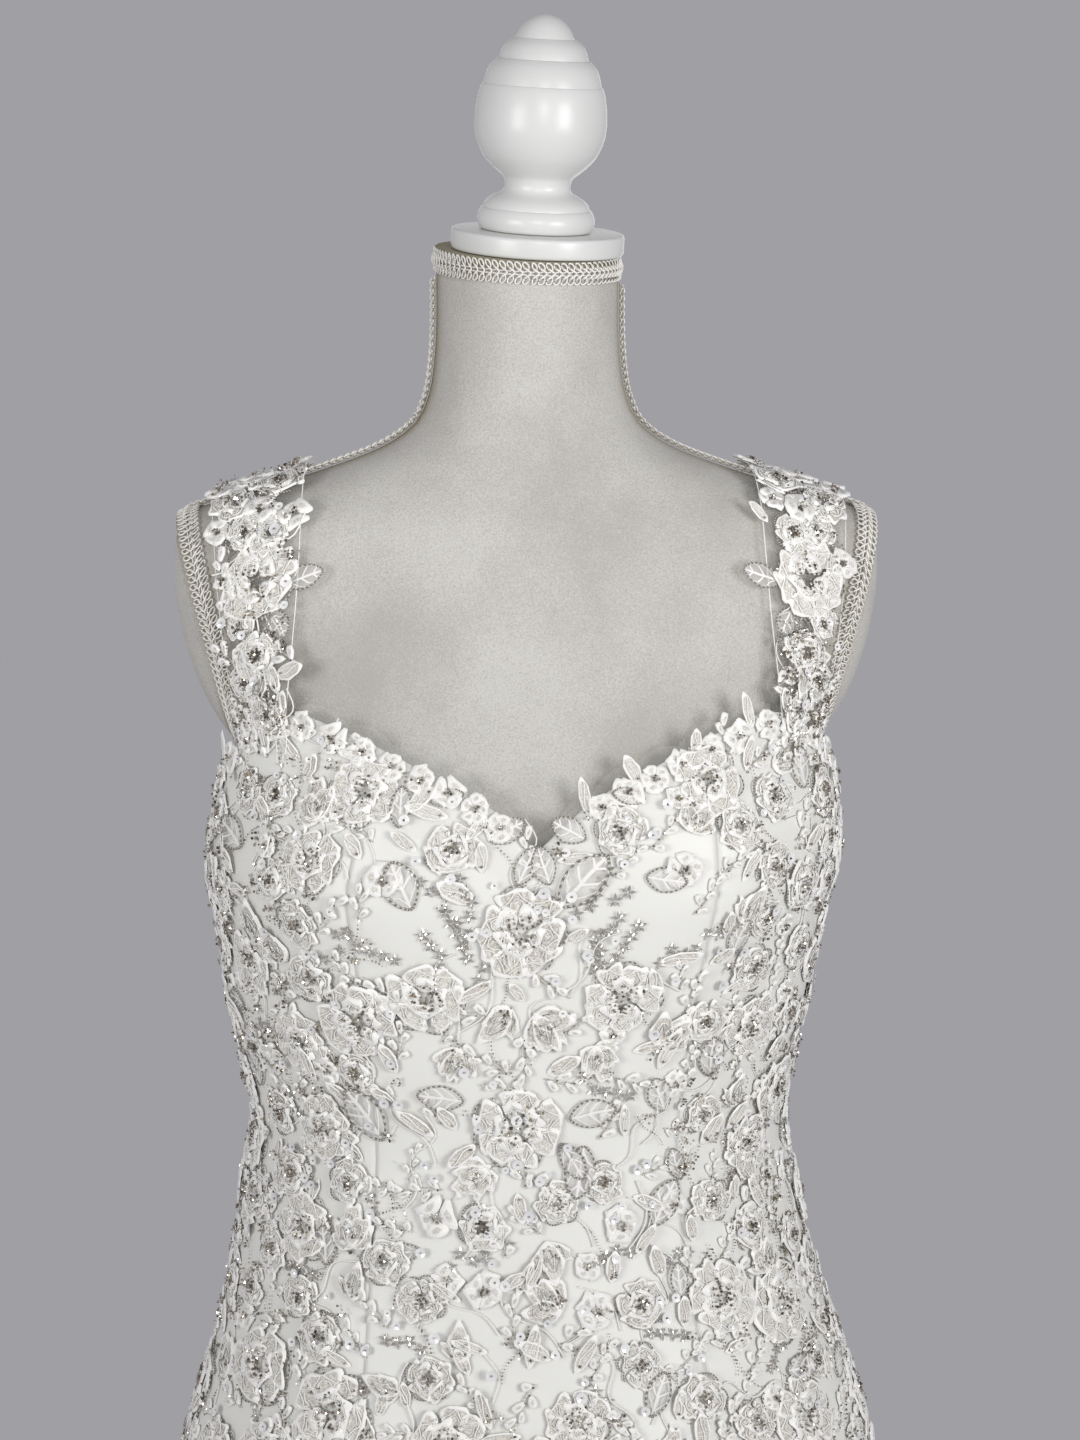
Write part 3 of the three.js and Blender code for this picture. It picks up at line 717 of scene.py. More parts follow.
@dataclass(frozen=True)
class BridalSatin(Finish):
    """Duchesse satin under a layer of fine net: smooth and softly glossy, with the net's grain on it."""

    name: str = "duchesse_satin_woven"
    bright: str = "#f0f0ea"
    dull: str = "#e5e5de"
    thread: float = 0.9  # the real 0.2 mm warp is too fine to show, so it is drawn coarser
    thread_run: float = 27.0  # how far one warp thread shows before it dips under the weft
    net_cell: float = 1.7  # the net's real 1.2 mm cell, drawn a little coarser to show

    def look(self, tree: Tree) -> Settings:
        """Adds warp and net as one grain, and a broad change of shade."""
        cloth = add_node(tree, "UVMap", uv_map="UVMap")
        warp_scale = (1 / (self.thread * MM), 1 / (self.thread_run * MM), 1)
        warp_place = add_node(tree, "Mapping", {"Vector": cloth, "Scale": warp_scale})
        warp = add_node(tree, "TexNoise", {"Vector": warp_place, "Scale": 1.0})
        net = self.net(tree, cloth, self.net_cell, 0.9)
        grain = add_node(tree, "Math", {0: net, 1: warp}, operation="ADD")
        broad = add_node(tree, "TexNoise", {"Vector": cloth, "Scale": 7.0, "Detail": 3.0})
        colour = add_node(tree, "Mix", {0: broad, 6: self.bright, 7: self.dull}, 2, data_type="RGBA")
        bump = add_node(tree, "Bump", {"Height": grain, "Strength": 0.16, "Distance": 0.0004})
        sheen = {"Sheen Weight": 0.2, "Sheen Roughness": 0.4}
        return {"Base Color": colour, "Roughness": 0.46, "Normal": bump, **sheen}


@dataclass(frozen=True)
class CordedLace(Finish):
    """Rayon satin stitch with a laid cord round each petal: bright cord, duller ridged filling whose troughs
    are painted darker as shade.
    """

    name: str = "rayon_lace_corded"
    cord: str = "#fdfcf7"
    stitch: str = "#f3f1ea"
    # Painted shade: the dark colour given to the troughs between the stitches.
    stitch_trough_shade: str = "#a89f92"
    grain: float = 0.8  # the stitches' grain, drawn twice as coarse as the real thread
    stitches: float = 9.0  # real stitches are 0.4 mm apart; nine ridges a petal show in the picture

    def look(self, tree: Tree) -> Settings:
        """Adds ridged and grainy stitches with painted shade in their troughs, paler on some motifs, inside a
        smooth bright rim.
        """
        flat = add_node(tree, "UVMap", uv_map="UVMap")
        rim, tone = (add_node(tree, "Attribute", None, 2, attribute_name=name) for name in ("rim", "tone"))
        ridges = {"Vector": flat, "Scale": WAVE_PERIOD * self.stitches, "Distortion": 2.5, "Detail": 1.0}
        place = add_node(tree, "TexCoord", None, "Object")
        noise = add_node(tree, "TexNoise", {"Vector": place, "Scale": 1 / (self.grain * MM), "Detail": 2.0})
        grain = add_node(tree, "MapRange", {0: noise, 1: 0.34, 2: 0.62})
        woven = add_node(tree, "Mix", {0: 0.3, 2: grain, 3: add_node(tree, "TexWave", ridges, 1)})
        # The troughs and low grain of the stitches take the dark colour: painted shade between the ridges.
        filling = add_node(tree, "Mix", {0: woven, 6: self.stitch_trough_shade, 7: self.stitch}, 2, data_type="RGBA")
        pale = add_node(tree, "MapRange", {0: tone, 1: 0.0, 2: 1.0, 3: 0.0, 4: 0.45})
        filled = add_node(tree, "Mix", {0: pale, 6: filling, 7: self.stitch}, 2, data_type="RGBA")
        edge = add_node(tree, "MapRange", {0: rim, 1: 0.35, 2: 0.7, 3: 0.0, 4: 1.0})
        colour = add_node(tree, "Mix", {0: edge, 6: filled, 7: self.cord}, 2, data_type="RGBA")
        height = add_node(tree, "Math", {0: woven, 1: edge}, operation="MAXIMUM")
        bump = add_node(tree, "Bump", {"Height": height, "Strength": 0.5, "Distance": 0.0006})
        return {"Base Color": colour, "Roughness": 0.5, "Sheen Weight": 0.15, "Normal": bump}


@dataclass(frozen=True)
class BridalNet(Finish):
    """Nylon net: thin white threads with open cells, so what is under it shows through."""

    name: str = "nylon_net_knitted"
    thread: str = "#efede8"
    cell: float = 1.9  # real cells are about 1.2 mm, drawn a little coarser to show
    haze: float = 0.1

    def look(self, tree: Tree) -> Settings:
        """Adds the net's threads as what covers, with a little haze in its cells."""
        cloth = add_node(tree, "UVMap", uv_map="UVMap")
        net = self.net(tree, cloth, self.cell, 0.95)
        cover = add_node(tree, "MapRange", {0: net, 1: 0.78, 2: 0.98, 3: self.haze, 4: 0.8})
        return {"Base Color": self.thread, "Roughness": 0.6, "Alpha": cover}


@dataclass(frozen=True)
class LeafNet(Finish):
    """A leaf of net with laid veins: clear between white ribs."""

    name: str = "nylon_net_veined"
    thread: str = "#f6f4f0"
    veins: float = 5.0  # side veins along one leaf, about 6 mm apart

    def look(self, tree: Tree) -> Settings:
        """Adds a middle rib and side veins that slant away from it."""
        flat = add_node(tree, "UVMap", uv_map="UVMap")
        across, along = (add_node(tree, "SeparateXYZ", {0: flat}, axis) for axis in range(2))
        centred = add_node(tree, "Math", {0: across, 1: 0.5}, operation="SUBTRACT")
        off = add_node(tree, "Math", {0: centred}, operation="ABSOLUTE")
        lean = add_node(tree, "Math", {0: off, 1: -0.55}, operation="MULTIPLY")
        slanted = add_node(tree, "Math", {0: along, 1: lean}, operation="ADD")
        turns = add_node(tree, "Math", {0: slanted, 1: self.veins * math.tau}, operation="MULTIPLY")
        wave = add_node(tree, "Math", {0: turns}, operation="SINE")
        side = add_node(tree, "MapRange", {0: wave, 1: 0.8, 2: 0.95, 3: 0.0, 4: 1.0})
        middle = add_node(tree, "MapRange", {0: off, 1: 0.05, 2: 0.02, 3: 0.0, 4: 1.0})
        rib = add_node(tree, "Math", {0: side, 1: middle}, operation="MAXIMUM")
        cover = add_node(tree, "MapRange", {0: rib, 1: 0.0, 2: 1.0, 3: 0.3, 4: 0.98})
        return {"Base Color": self.thread, "Roughness": 0.55, "Alpha": cover}


@dataclass(frozen=True)
class GlassBeads(Finish):
    """Silver-lined glass beads: small bright glints between dark and champagne sides."""

    name: str = "silver_lined_glass_beads"
    colours: tuple[tuple[float, str], ...] = (
        (0.0, "#5e574d"), (0.3, "#a79d8f"), (0.55, "#c8bdac"), (0.75, "#d6d3cd"), (1.0, "#fbfaf8"),
    )

    def look(self, tree: Tree) -> Settings:
        """Gives each bead one of the colours by its tone."""
        tone = add_node(tree, "Attribute", None, 2, attribute_name="tone")
        colour = add_node(tree, "ValToRGB", {0: tone})
        stops = colour.node.color_ramp.elements
        while len(stops) < len(self.colours):
            stops.new(0.5)
        for stop, (place, shade) in zip(stops, self.colours):
            stop.position = place
            stop.color = linear(shade)
        return {"Base Color": colour, "Metallic": 0.85, "Roughness": 0.16}


@dataclass(frozen=True)
class PearlSequins(Finish):
    """Pearl-coated plastic sequins: smooth white cups with a wet gloss."""

    name: str = "pearl_sequins_pressed"
    white: str = "#f7f6f3"
    shade: str = "#e2e3e4"

    def look(self, tree: Tree) -> Settings:
        """Gives each sequin its own white under a clear coat."""
        tone = add_node(tree, "Attribute", None, 2, attribute_name="tone")
        colour = add_node(tree, "Mix", {0: tone, 6: self.shade, 7: self.white}, 2, data_type="RGBA")
        return {"Base Color": colour, "Roughness": 0.16, "Coat Weight": 0.7, "Coat Roughness": 0.08}


@dataclass(frozen=True)
class BeadedCord(Finish):
    """Cord whipped with metal thread and tiny beads: grey with a bright fleck at each turn."""

    name: str = "metal_thread_cord_whipped"
    dark: str = "#7d776d"
    bright: str = "#dcd9d2"
    turns: float = 26.0  # turns of thread along one outline, about 2.4 mm apart so that they show

    def look(self, tree: Tree) -> Settings:
        """Adds the turns of the thread as bright ridges."""
        flat = add_node(tree, "UVMap", uv_map="UVMap")
        turns = {"Vector": flat, "Scale": WAVE_PERIOD * self.turns, "Distortion": 1.0}
        whip = add_node(tree, "TexWave", turns, 1)
        colour = add_node(tree, "Mix", {0: whip, 6: self.dark, 7: self.bright}, 2, data_type="RGBA")
        bump = add_node(tree, "Bump", {"Height": whip, "Strength": 0.7, "Distance": 0.0006})
        return {"Base Color": colour, "Metallic": 0.35, "Roughness": 0.38, "Normal": bump}


@dataclass(frozen=True)
class BrushedJersey(Finish):
    """Brushed polyester jersey stretched over the form: matt, with a pebbled nap and a few yellowed edges,
    where the jersey under the braids is also painted darker as shade.
    """

    name: str = "polyester_jersey_brushed"
    pale: str = "#cccac3"
    worn: str = "#b1aea7"
    # A dark olive: the yellowing of the edges, darkened further as painted shade under the braids.
    yellowed_and_shaded: str = "#86784a"
    nap: float = 0.95  # the nap's pebbles

    def look(self, tree: Tree) -> Settings:
        """Adds the nap, broad wear, and the yellowing with painted shade under the braids that each point's
        value gives.
        """
        place = add_node(tree, "TexCoord", None, "Object")
        nap = add_node(tree, "TexNoise", {"Vector": place, "Scale": 1 / (self.nap * MM), "Detail": 4.0})
        broad = add_node(tree, "TexNoise", {"Vector": place, "Scale": 14.0, "Detail": 5.0})
        mixed = add_node(tree, "Math", {0: nap, 1: broad}, operation="MULTIPLY")
        spread = add_node(tree, "MapRange", {0: mixed, 1: 0.15, 2: 0.36})
        cloth = add_node(tree, "Mix", {0: spread, 6: self.worn, 7: self.pale}, 2, data_type="RGBA")
        # Under the braids the jersey is painted yellowed and darker: real yellowing and painted shade in one.
        age = add_node(tree, "Attribute", None, 2, attribute_name="age")
        patchy = add_node(tree, "Math", {0: age, 1: broad}, operation="MULTIPLY")
        colour = add_node(tree, "Mix", {0: patchy, 6: cloth, 7: self.yellowed_and_shaded}, 2, data_type="RGBA")
        bump = add_node(tree, "Bump", {"Height": nap, "Strength": 0.5, "Distance": 0.0009})
        sheen = {"Sheen Weight": 0.06, "Sheen Roughness": 0.6}
        return {"Base Color": colour, "Roughness": 0.85, "Normal": bump, **sheen}


@dataclass(frozen=True)
class GimpCord(Finish):
    """Rayon gimp: fine shiny thread wound round a core, a little yellowed."""

    name: str = "rayon_gimp_wound"
    light: str = "#fffdf8"
    dark: str = "#e2dfd6"
    wind: float = 1.1  # the winding's real 0.4 mm pitch, drawn coarser to show

    def look(self, tree: Tree) -> Settings:
        """Adds the winding."""
        place = add_node(tree, "TexCoord", None, "Object")
        wind = add_node(tree, "TexNoise", {"Vector": place, "Scale": 1 / (self.wind * MM), "Detail": 2.0})
        colour = add_node(tree, "Mix", {0: wind, 6: self.dark, 7: self.light}, 2, data_type="RGBA")
        bump = add_node(tree, "Bump", {"Height": wind, "Strength": 0.4, "Distance": 0.0005})
        return {"Base Color": colour, "Roughness": 0.42, "Normal": bump}


@dataclass(frozen=True)
class GlossPaint(Finish):
    """Sprayed white enamel: a hard gloss over slightly uneven ground."""

    name: str
    white: str
    shade: str
    roughness: float
    ripple: float = 6.0  # the paint's orange peel

    def look(self, tree: Tree) -> Settings:
        """Adds orange peel and a broad change of white."""
        place = add_node(tree, "TexCoord", None, "Object")
        peel = add_node(tree, "TexNoise", {"Vector": place, "Scale": 1 / (self.ripple * MM)})
        broad = add_node(tree, "TexNoise", {"Vector": place, "Scale": 30.0, "Detail": 6.0})
        colour = add_node(tree, "Mix", {0: broad, 6: self.white, 7: self.shade}, 2, data_type="RGBA")
        bump = add_node(tree, "Bump", {"Height": peel, "Strength": 0.12, "Distance": 0.0005})
        coat = {"Coat Weight": 0.15, "Coat Roughness": 0.2}
        return {"Base Color": colour, "Roughness": self.roughness, "Normal": bump, **coat}


# Lace motifs

class Layer(Enum):
    """What a part of a motif is made of."""

    THREAD = "thread"
    LEAF = "leaf"
    CORD = "cord"
    BEAD = "bead"
    SEQUIN = "sequin"


class Motif(Enum):
    """A kind of trimming, with the radius that it keeps free in millimetres."""

    BIG_FLOWER = 20.0
    MEDIUM_FLOWER = 13.5
    SMALL_FLOWER = 9.0
    NET_LEAF = 12.0
    LOBED_LEAF = 11.5
    STITCHED_LEAF = 8.0
    SPRIG = 10.5
    SPRAY = 11.0
    VINE = 6.0
    BEAD_LINE = 6.5
    BEAD_GROUP = 5.0
    SEQUIN = 2.7


def stamp_mesh() -> BMesh:
    """An empty mesh with a UV map, and with a rim and a tone on each vertex.

    Returns:
        The mesh.
    """
    bm = bmesh.new()
    bm.loops.layers.uv.verify()
    for name in ("rim", "tone"):
        bm.verts.layers.float.new(name)
    return bm


def mark(bm: BMesh, verts: Iterable[bmesh.types.BMVert], name: str, value: float) -> None:
    """Writes a value on vertices.

    Args:
        bm: Their mesh.
        verts: The vertices.
        name: Which of their values is written.
        value: What is written.
    """
    layer = bm.verts.layers.float[name]
    for vert in verts:
        vert[layer] = value


@dataclass
class Stamp:
    """A small shape that is made once and laid many times."""

    points: Array
    corners: Array
    starts: Array
    weave: Array
    rim: Array
    tone: Array

    @classmethod
    def from_mesh(cls, bm: BMesh) -> "Stamp":
        """Reads a stamp's mesh in millimetres and uses it up.

        Args:
            bm: The mesh.

        Returns:
            The stamp.
        """
        bm.verts.index_update()
        uv = bm.loops.layers.uv.verify()
        rim, tone = (bm.verts.layers.float[name] for name in ("rim", "tone"))
        loops = [loop for face in bm.faces for loop in face.loops]
        sizes = np.array([len(face.loops) for face in bm.faces])
        stamp = cls(
            np.array([vert.co for vert in bm.verts]),
            np.array([loop.vert.index for loop in loops]),
            np.concatenate([[0], np.cumsum(sizes)[:-1]]),
            np.array([loop[uv].uv for loop in loops]),
            np.array([vert[rim] for vert in bm.verts]),
            np.array([vert[tone] for vert in bm.verts]),
        )
        bm.free()
        return stamp

    @classmethod
    def from_cord(cls, path: Path, radius: float, segments: int, sides: int, **ways: object) -> "Stamp":
        """Makes a stamp of one cord.

        Args:
            path: The cord's line.
            radius: Its radius.
            segments: Faces along it.
            sides: Faces round it.
            **ways: Further settings of a tube.

        Returns:
            The stamp.
        """
        bm = stamp_mesh()
        mark(bm, tube(bm, path, radius, segments, sides, **ways), "rim", 1.0)
        return cls.from_mesh(bm)


class Trimming:
    """Collects laid stamps and joins them into one piece."""

    def __init__(self) -> None:
        """Starts with nothing."""
        self.parts: list[tuple[Stamp, Array, Array]] = []

    def add(self, stamp: Stamp, placed: Array, tone: Array) -> None:
        """Adds copies of a stamp: the points of each copy in millimetres, and its own tone from 0 to 1."""
        self.parts.append((stamp, placed, tone))

    def add_one(self, stamp: Stamp) -> None:
        """Adds a stamp that is in place already."""
        self.add(stamp, stamp.points[None], np.zeros(1))

    def piece(self, name: str, material: Material, is_smooth: bool, slot: str, nodes: Names = ()) -> None:
        """Joins the copies.

        Args:
            name: The piece's name.
            material: Its finish.
            is_smooth: Whether faces blend, or stay cut as on a bead.
            slot: The record's material slot; not used.
            nodes: The nodes that the piece stands for.
        """
        points, corners, starts, weave, rims, tones = [], [], [], [], [], []
        first_point = first_corner = 0
        for stamp, placed, tone in self.parts:
            copies, count = placed.shape[:2]
            turn = np.arange(copies)[:, None]
            points.append(placed.reshape(-1, 3) * MM)
            corners.append((stamp.corners + first_point + turn * count).ravel())
            starts.append((stamp.starts + first_corner + turn * len(stamp.corners)).ravel())
            weave.append(np.tile(stamp.weave, (copies, 1)))
            rims.append(np.tile(stamp.rim, copies))
            tones.append(((stamp.tone + tone[:, None]) % 1.0).ravel())
            first_point += copies * count
            first_corner += copies * len(stamp.corners)
        mesh = bpy.data.meshes.new(name)
        mesh.vertices.add(first_point)
        mesh.loops.add(first_corner)
        mesh.polygons.add(sum(len(part) for part in starts))
        mesh.vertices.foreach_set("co", np.concatenate(points).astype(np.float32).ravel())
        mesh.loops.foreach_set("vertex_index", np.concatenate(corners).astype(np.int32))
        mesh.polygons.foreach_set("loop_start", np.concatenate(starts).astype(np.int32))
        mesh.update(calc_edges=True)
        mesh.polygons.foreach_set("use_smooth", np.full(len(mesh.polygons), is_smooth))
        layer = mesh.uv_layers.new(name="UVMap")
        layer.uv.foreach_set("vector", np.concatenate(weave).astype(np.float32).ravel())
        for label, values in (("rim", rims), ("tone", tones)):
            kept = mesh.attributes.new(label, "FLOAT", "POINT")
            kept.data.foreach_set("value", np.concatenate(values).astype(np.float32))
        ride_piece(name, mesh, material, slot, nodes)


# Where the lines of a motif's grid lie, from one edge to the other.
FINE_LINES = [-1, -0.86, -0.6, 0, 0.6, 0.86, 1]
COARSE_LINES = [-1, -0.8, 0, 0.8, 1]


def round_grid(bm: BMesh, lines: list[float], place: Callable[[Array, Array, Array], Array]) -> Verts:
    """Adds a round grid to a stamp's mesh, shapes it and marks its rim.

    Args:
        bm: The stamp's mesh.
        lines: Where the grid's lines lie, from -1 to 1.
        place: Gives the points for places across and upwards from -1 to 1, and for how near the edge each is.

    Returns:
        The grid's vertices.
    """
    even = np.linspace(0, 1, len(lines))
    edges: list[float] = []

    def bent(u: Array, v: Array) -> Array:
        """Bends the square grid to a round one."""
        across, up = np.interp(u, even, lines), np.interp(v, even, lines)
        edge = np.maximum(np.abs(across), np.abs(up))
        edges.extend(edge)
        return place(across * np.sqrt(1 - up**2 / 2), up * np.sqrt(1 - across**2 / 2), edge)

    verts = shaped_grid(bm, len(lines) - 1, len(lines) - 1, bent)
    mark(bm, (vert for vert, edge in zip(verts, edges) if edge > 0.7), "rim", 1.0)
    return verts


@dataclass
class Petal:
    """One petal, standing on the flower's middle: a ragged edge with a laid cord just inside it."""

    length: float
    width: float
    base: float
    rise: float
    lift: float
    lines: list[float]
    wavy: float = 0.09
    vein_parts: int = 0
    is_pointed: bool = False

    def add_to(self, bm: BMesh, turn: float, chance: Chance) -> Verts:
        """Adds the petal to a flower.

        Args:
            bm: The flower's mesh.
            turn: The petal's direction, in radians.
            chance: Makes each petal a little different.

        Returns:
            The petal's vertices.
        """
        phase, stretch, spread = chance.uniform(0, 6), chance.uniform(0.76, 1.16), chance.uniform(0.85, 1.25)
        lobes = int(chance.integers(3, 6))

        def place(x: Array, y: Array, edge: Array) -> Array:
            """Gives the petal's points."""
            up = (y + 1) / 2
            taper = 0.42 + 0.85 * up - 0.27 * up**2
            if self.is_pointed:
                taper = 1 - 0.5 * np.abs(y) ** 2.2
            ruffle = 1 + self.wavy * np.sin(lobes * np.arctan2(x, y) + phase) * edge**3
            notch = 1 - 0.08 * bell(x, 0.3) * (edge > 0.8) * up
            cord = 0.8 * bell(edge - abs(self.lines[1]), 0.08) - 0.6 * (edge > 0.99)
            puff = self.rise * (0.4 + 0.6 * up) * (1 - 0.5 * x**2)
            flat_x = x * taper * self.width / 2 * ruffle * spread
            flat_y = self.base + up * self.length * stretch * ruffle * notch
            return np.stack([flat_x, flat_y, self.lift + puff + cord], axis=-1)

        def vein(share: Array) -> tuple[Array, Array, Array]:
            """Gives the line of a cord inside the petal: three loops that widen towards its end."""
            turn = share * math.tau
            up = 0.5 + 0.26 * np.cos(3 * turn) * np.cos(turn) - 0.1 * np.cos(turn)
            across = 0.3 * np.sin(turn) * (1 + 0.35 * np.cos(3 * turn))
            height = self.lift + self.rise * (0.4 + 0.6 * up) + 0.55
            return across * self.width * spread, self.base + up * self.length * stretch, height

        verts = round_grid(bm, self.lines, place)
        if self.vein_parts:
            cord = tube(bm, vein, 0.42, self.vein_parts, 3)
            mark(bm, cord, "rim", 1.0)
            verts += cord
        lean = turn + chance.normal(0, 0.13)
        bmesh.ops.rotate(bm, cent=(0, 0, 0), matrix=Matrix.Rotation(lean, 3, "Z"), verts=verts)
        return verts


class MotifPart(NamedTuple):
    """One layer of a motif, and how far its copies differ in tone."""

    layer: Layer
    stamp: Stamp
    stray: float = 1.0


Kind = list[MotifPart]
Beads = list[tuple[float, float, float, float]]


@dataclass
class MotifKit:
    """Makes the stamps of every motif, a few kinds of each."""

    seed: int = 11

    def __post_init__(self) -> None:
        """Makes all stamps."""
        self.chance = np.random.default_rng(self.seed)
        self.kinds: dict[Motif, list[Kind]] = {
            Motif.BIG_FLOWER: [self.flower(21.5, count, 15.0, FINE_LINES, 5, 48) for count in (7, 8, 6, 7)],
            Motif.MEDIUM_FLOWER: [self.flower(13.5, count, 10, FINE_LINES, 4, 16) for count in (5, 6, 5, 7)],
            Motif.SMALL_FLOWER: [self.flower(9, count, 7.6, COARSE_LINES, 0, 6) for count in (5, 5, 4, 6)],
            Motif.NET_LEAF: [self.net_leaf(*size) for size in ((28, 16), (24, 15), (22, 11))],
            Motif.LOBED_LEAF: [self.lobed_leaf(lobes) for lobes in (3, 4, 5)],
            Motif.STITCHED_LEAF: [self.stitched_leaf(*size) for size in ((19, 9), (16, 7), (22, 7))],
            Motif.SPRIG: [self.sprig(leaves) for leaves in (4, 5, 5)],
            Motif.SPRAY: [self.spray(stars) for stars in (4, 5, 6)],
            Motif.VINE: [self.vine(*sizes) for sizes in ((42, 5, 1.0), (34, 8, 0.6), (50, 6, 1.6))],
            Motif.BEAD_LINE: [self.bead_line(count) for count in (9, 12, 15, 18)],
            Motif.BEAD_GROUP: [self.bead_group(count) for count in (6, 8, 10, 12)],
            Motif.SEQUIN: [self.sequin()],
        }

    def add_bead(self, bm: BMesh, matrix: Matrix, radius: float, tone: float) -> None:
        """Adds one bead, a small cut stone of eight faces, where a matrix puts it."""
        made = bmesh.ops.create_uvsphere(bm, u_segments=4, v_segments=2, radius=radius, matrix=matrix)
        mark(bm, made["verts"], "tone", tone)

    def beads(self, places: Beads) -> MotifPart:
        """Beads in one layer, each with its own turn and tone.

        Args:
            places: Across, up, out and radius of each bead.

        Returns:
            The layer.
        """
        bm = stamp_mesh()
        for x, y, z, radius in places:
            angle, axis = self.chance.uniform(0, 3), Vector(self.chance.normal(0, 1, 3)).normalized()
            matrix = Matrix.Translation((x, y, z)) @ Matrix.Rotation(angle, 4, axis)
            self.add_bead(bm, matrix, radius, self.chance.random())
        return MotifPart(Layer.BEAD, Stamp.from_mesh(bm))

    def flower(
        self, radius: float, count: int, length: float, lines: list[float], inner: int, beads: int
    ) -> Kind:
        """A flower of one or two rings of petals with beads in its middle and, if large, cord round it.

        Args:
            radius: From its middle to its tips.
            count: Petals in the outer ring.
            length: Length of an outer petal.
            lines: The petals' grid.
            inner: Petals in the inner ring.
            beads: Beads in the middle.

        Returns:
            The flower's layers.
        """
        bm = stamp_mesh()
        is_large = radius > 10
        width = 2.2 * radius * math.sin(math.pi / count)
        rise = 0.07 * radius
        veins = round(1.2 * radius - 7) if is_large else 0
        for number in range(count):
            lift = 0.5 + 0.7 * (number % 2)
            outer = Petal(length, width, radius - length, rise, lift, lines, vein_parts=veins)
            outer.add_to(bm, math.tau * number / count, self.chance)
        sizes = (length * 0.66, width * 0.7, 0.14 * radius, rise, 1.5)
        small = Petal(*sizes, COARSE_LINES, 0.13, round(0.75 * veins))
        for number in range(inner):
            small.add_to(bm, math.tau * (number + 0.5) / inner, self.chance)
        places = []
        for number in range(beads):
            turn = 2.4 * number + self.chance.normal(0, 0.2)
            away = (0.35 + 0.055 * radius) * math.sqrt(number) * self.chance.uniform(0.8, 1.15)
            out = 3.2 + 0.04 * radius - 0.15 * away
            places.append((away * math.cos(turn), away * math.sin(turn), out, self.chance.uniform(0.7, 1.15)))
        parts = [MotifPart(Layer.THREAD, Stamp.from_mesh(bm)), self.beads(places)]
        if is_large:
            parts.append(self.scalloped_cord(radius, count))
        return parts

    def scalloped_cord(self, radius: float, count: int) -> MotifPart:
        """Metal-thread cord that follows half of a flower's outline.

        Args:
            radius: The flower's radius.
            count: Its petals.

        Returns:
            The cord's layer.
        """
        start = self.chance.uniform(0, math.tau)

        def path(share: Array) -> tuple[Array, Array, Array]:
            """Gives the outline."""
            turn = start + share * math.pi
            away = radius * (0.8 + 0.2 * np.abs(np.cos(turn * count / 2)))
            return -away * np.sin(turn), away * np.cos(turn), 0 * turn + 1.2

        return MotifPart(Layer.CORD, Stamp.from_cord(path, 0.5, 5 * count, 3))

    def leaf_mesh(self, length: float, width: float, lines: list[float], rise: float) -> BMesh:
        """A pointed leaf that stands on its stalk and lifts at its tip.

        Args:
            length: From stalk to tip.
            width: Across the middle.
            lines: The leaf's grid.
            rise: How far the tip lifts.

        Returns:
            The leaf's mesh.
        """
        bm = stamp_mesh()
        phase = self.chance.uniform(0, 6)

        def place(x: Array, y: Array, edge: Array) -> Array:
            """Gives the leaf's points."""
            up = (y + 1) / 2
            point = (1 - 0.42 * np.abs(y) ** 2.2) * (1 + 0.09 * np.sin(9 * y + 2 * x + phase))
            cord = 0.6 * bell(edge - abs(lines[1]), 0.08) - 0.4 * (edge > 0.99)
            height = 0.6 + rise * up**2 + 0.9 * np.abs(x) + cord
            return np.stack([x * width / 2 * point, up * length, height], axis=-1)

        round_grid(bm, lines, place)
        return bm

    def net_leaf(self, length: float, width: float) -> Kind:
        """A leaf of veined net in an outline of beaded cord.

        Args:
            length: From stalk to tip.
            width: Across the middle.

        Returns:
            The leaf's layers.
        """
        rise = 2.0

        def path(share: Array) -> tuple[Array, Array, Array]:
            """Gives the outline."""
            turn = share * math.tau
            y = -np.cos(turn)
            up = (y + 1) / 2
            point = 1 - 0.42 * np.abs(y) ** 2.2
            return np.sin(turn) * width / 2 * point, up * length, 1.0 + rise * up**2

        leaf = MotifPart(Layer.LEAF, Stamp.from_mesh(self.leaf_mesh(length, width, COARSE_LINES, rise)))
        return [leaf, MotifPart(Layer.CORD, Stamp.from_cord(path, 0.6, 26, 4))]

    def stitched_leaf(self, length: float, width: float) -> Kind:
        """A leaf filled with stitches, with a cord laid along its rib and one bead.

        Args:
            length: From stalk to tip.
            width: Across the middle.

        Returns:
            The leaf's layers.
        """
        bm = self.leaf_mesh(length, width, FINE_LINES, 2.4)
        bend = self.chance.normal(0, 0.6)

        def path(up: Array) -> tuple[Array, Array, Array]:
            """Gives the rib."""
            return bend * np.sin(5 * up), (0.1 + 0.75 * up) * length, 1.3 + 2 * up**2

        mark(bm, tube(bm, path, 0.45, 8, 3), "rim", 1.0)
        return [MotifPart(Layer.THREAD, Stamp.from_mesh(bm)), self.beads([(0.0, 0.2 * length, 1.9, 0.85)])]

    def lobed_leaf(self, lobes: int) -> Kind:
        """A ragged leaf of pointed lobes that spread from one stalk, with beads where they meet.

        Args:
            lobes: Lobes of the leaf.

        Returns:
            The leaf's layers.
        """
        bm = stamp_mesh()
        for number in range(lobes):
            aside = number - (lobes - 1) / 2
            sizes = (23 - 3.2 * abs(aside), 11.0, -3.0, 1.3, 0.6 + 0.6 * (number % 2))
            Petal(*sizes, FINE_LINES, 0.12, 9, True).add_to(bm, 0.6 * aside, self.chance)
        bmesh.ops.translate(bm, vec=(0, -8, 0), verts=bm.verts)
        spots = self.chance.uniform((-3, -2, 0.55), (3, 5, 0.95), (6, 3))
        places = [(x, y - 6.5, 2.6, size) for x, y, size in spots]
        return [MotifPart(Layer.THREAD, Stamp.from_mesh(bm)), self.beads(places)]

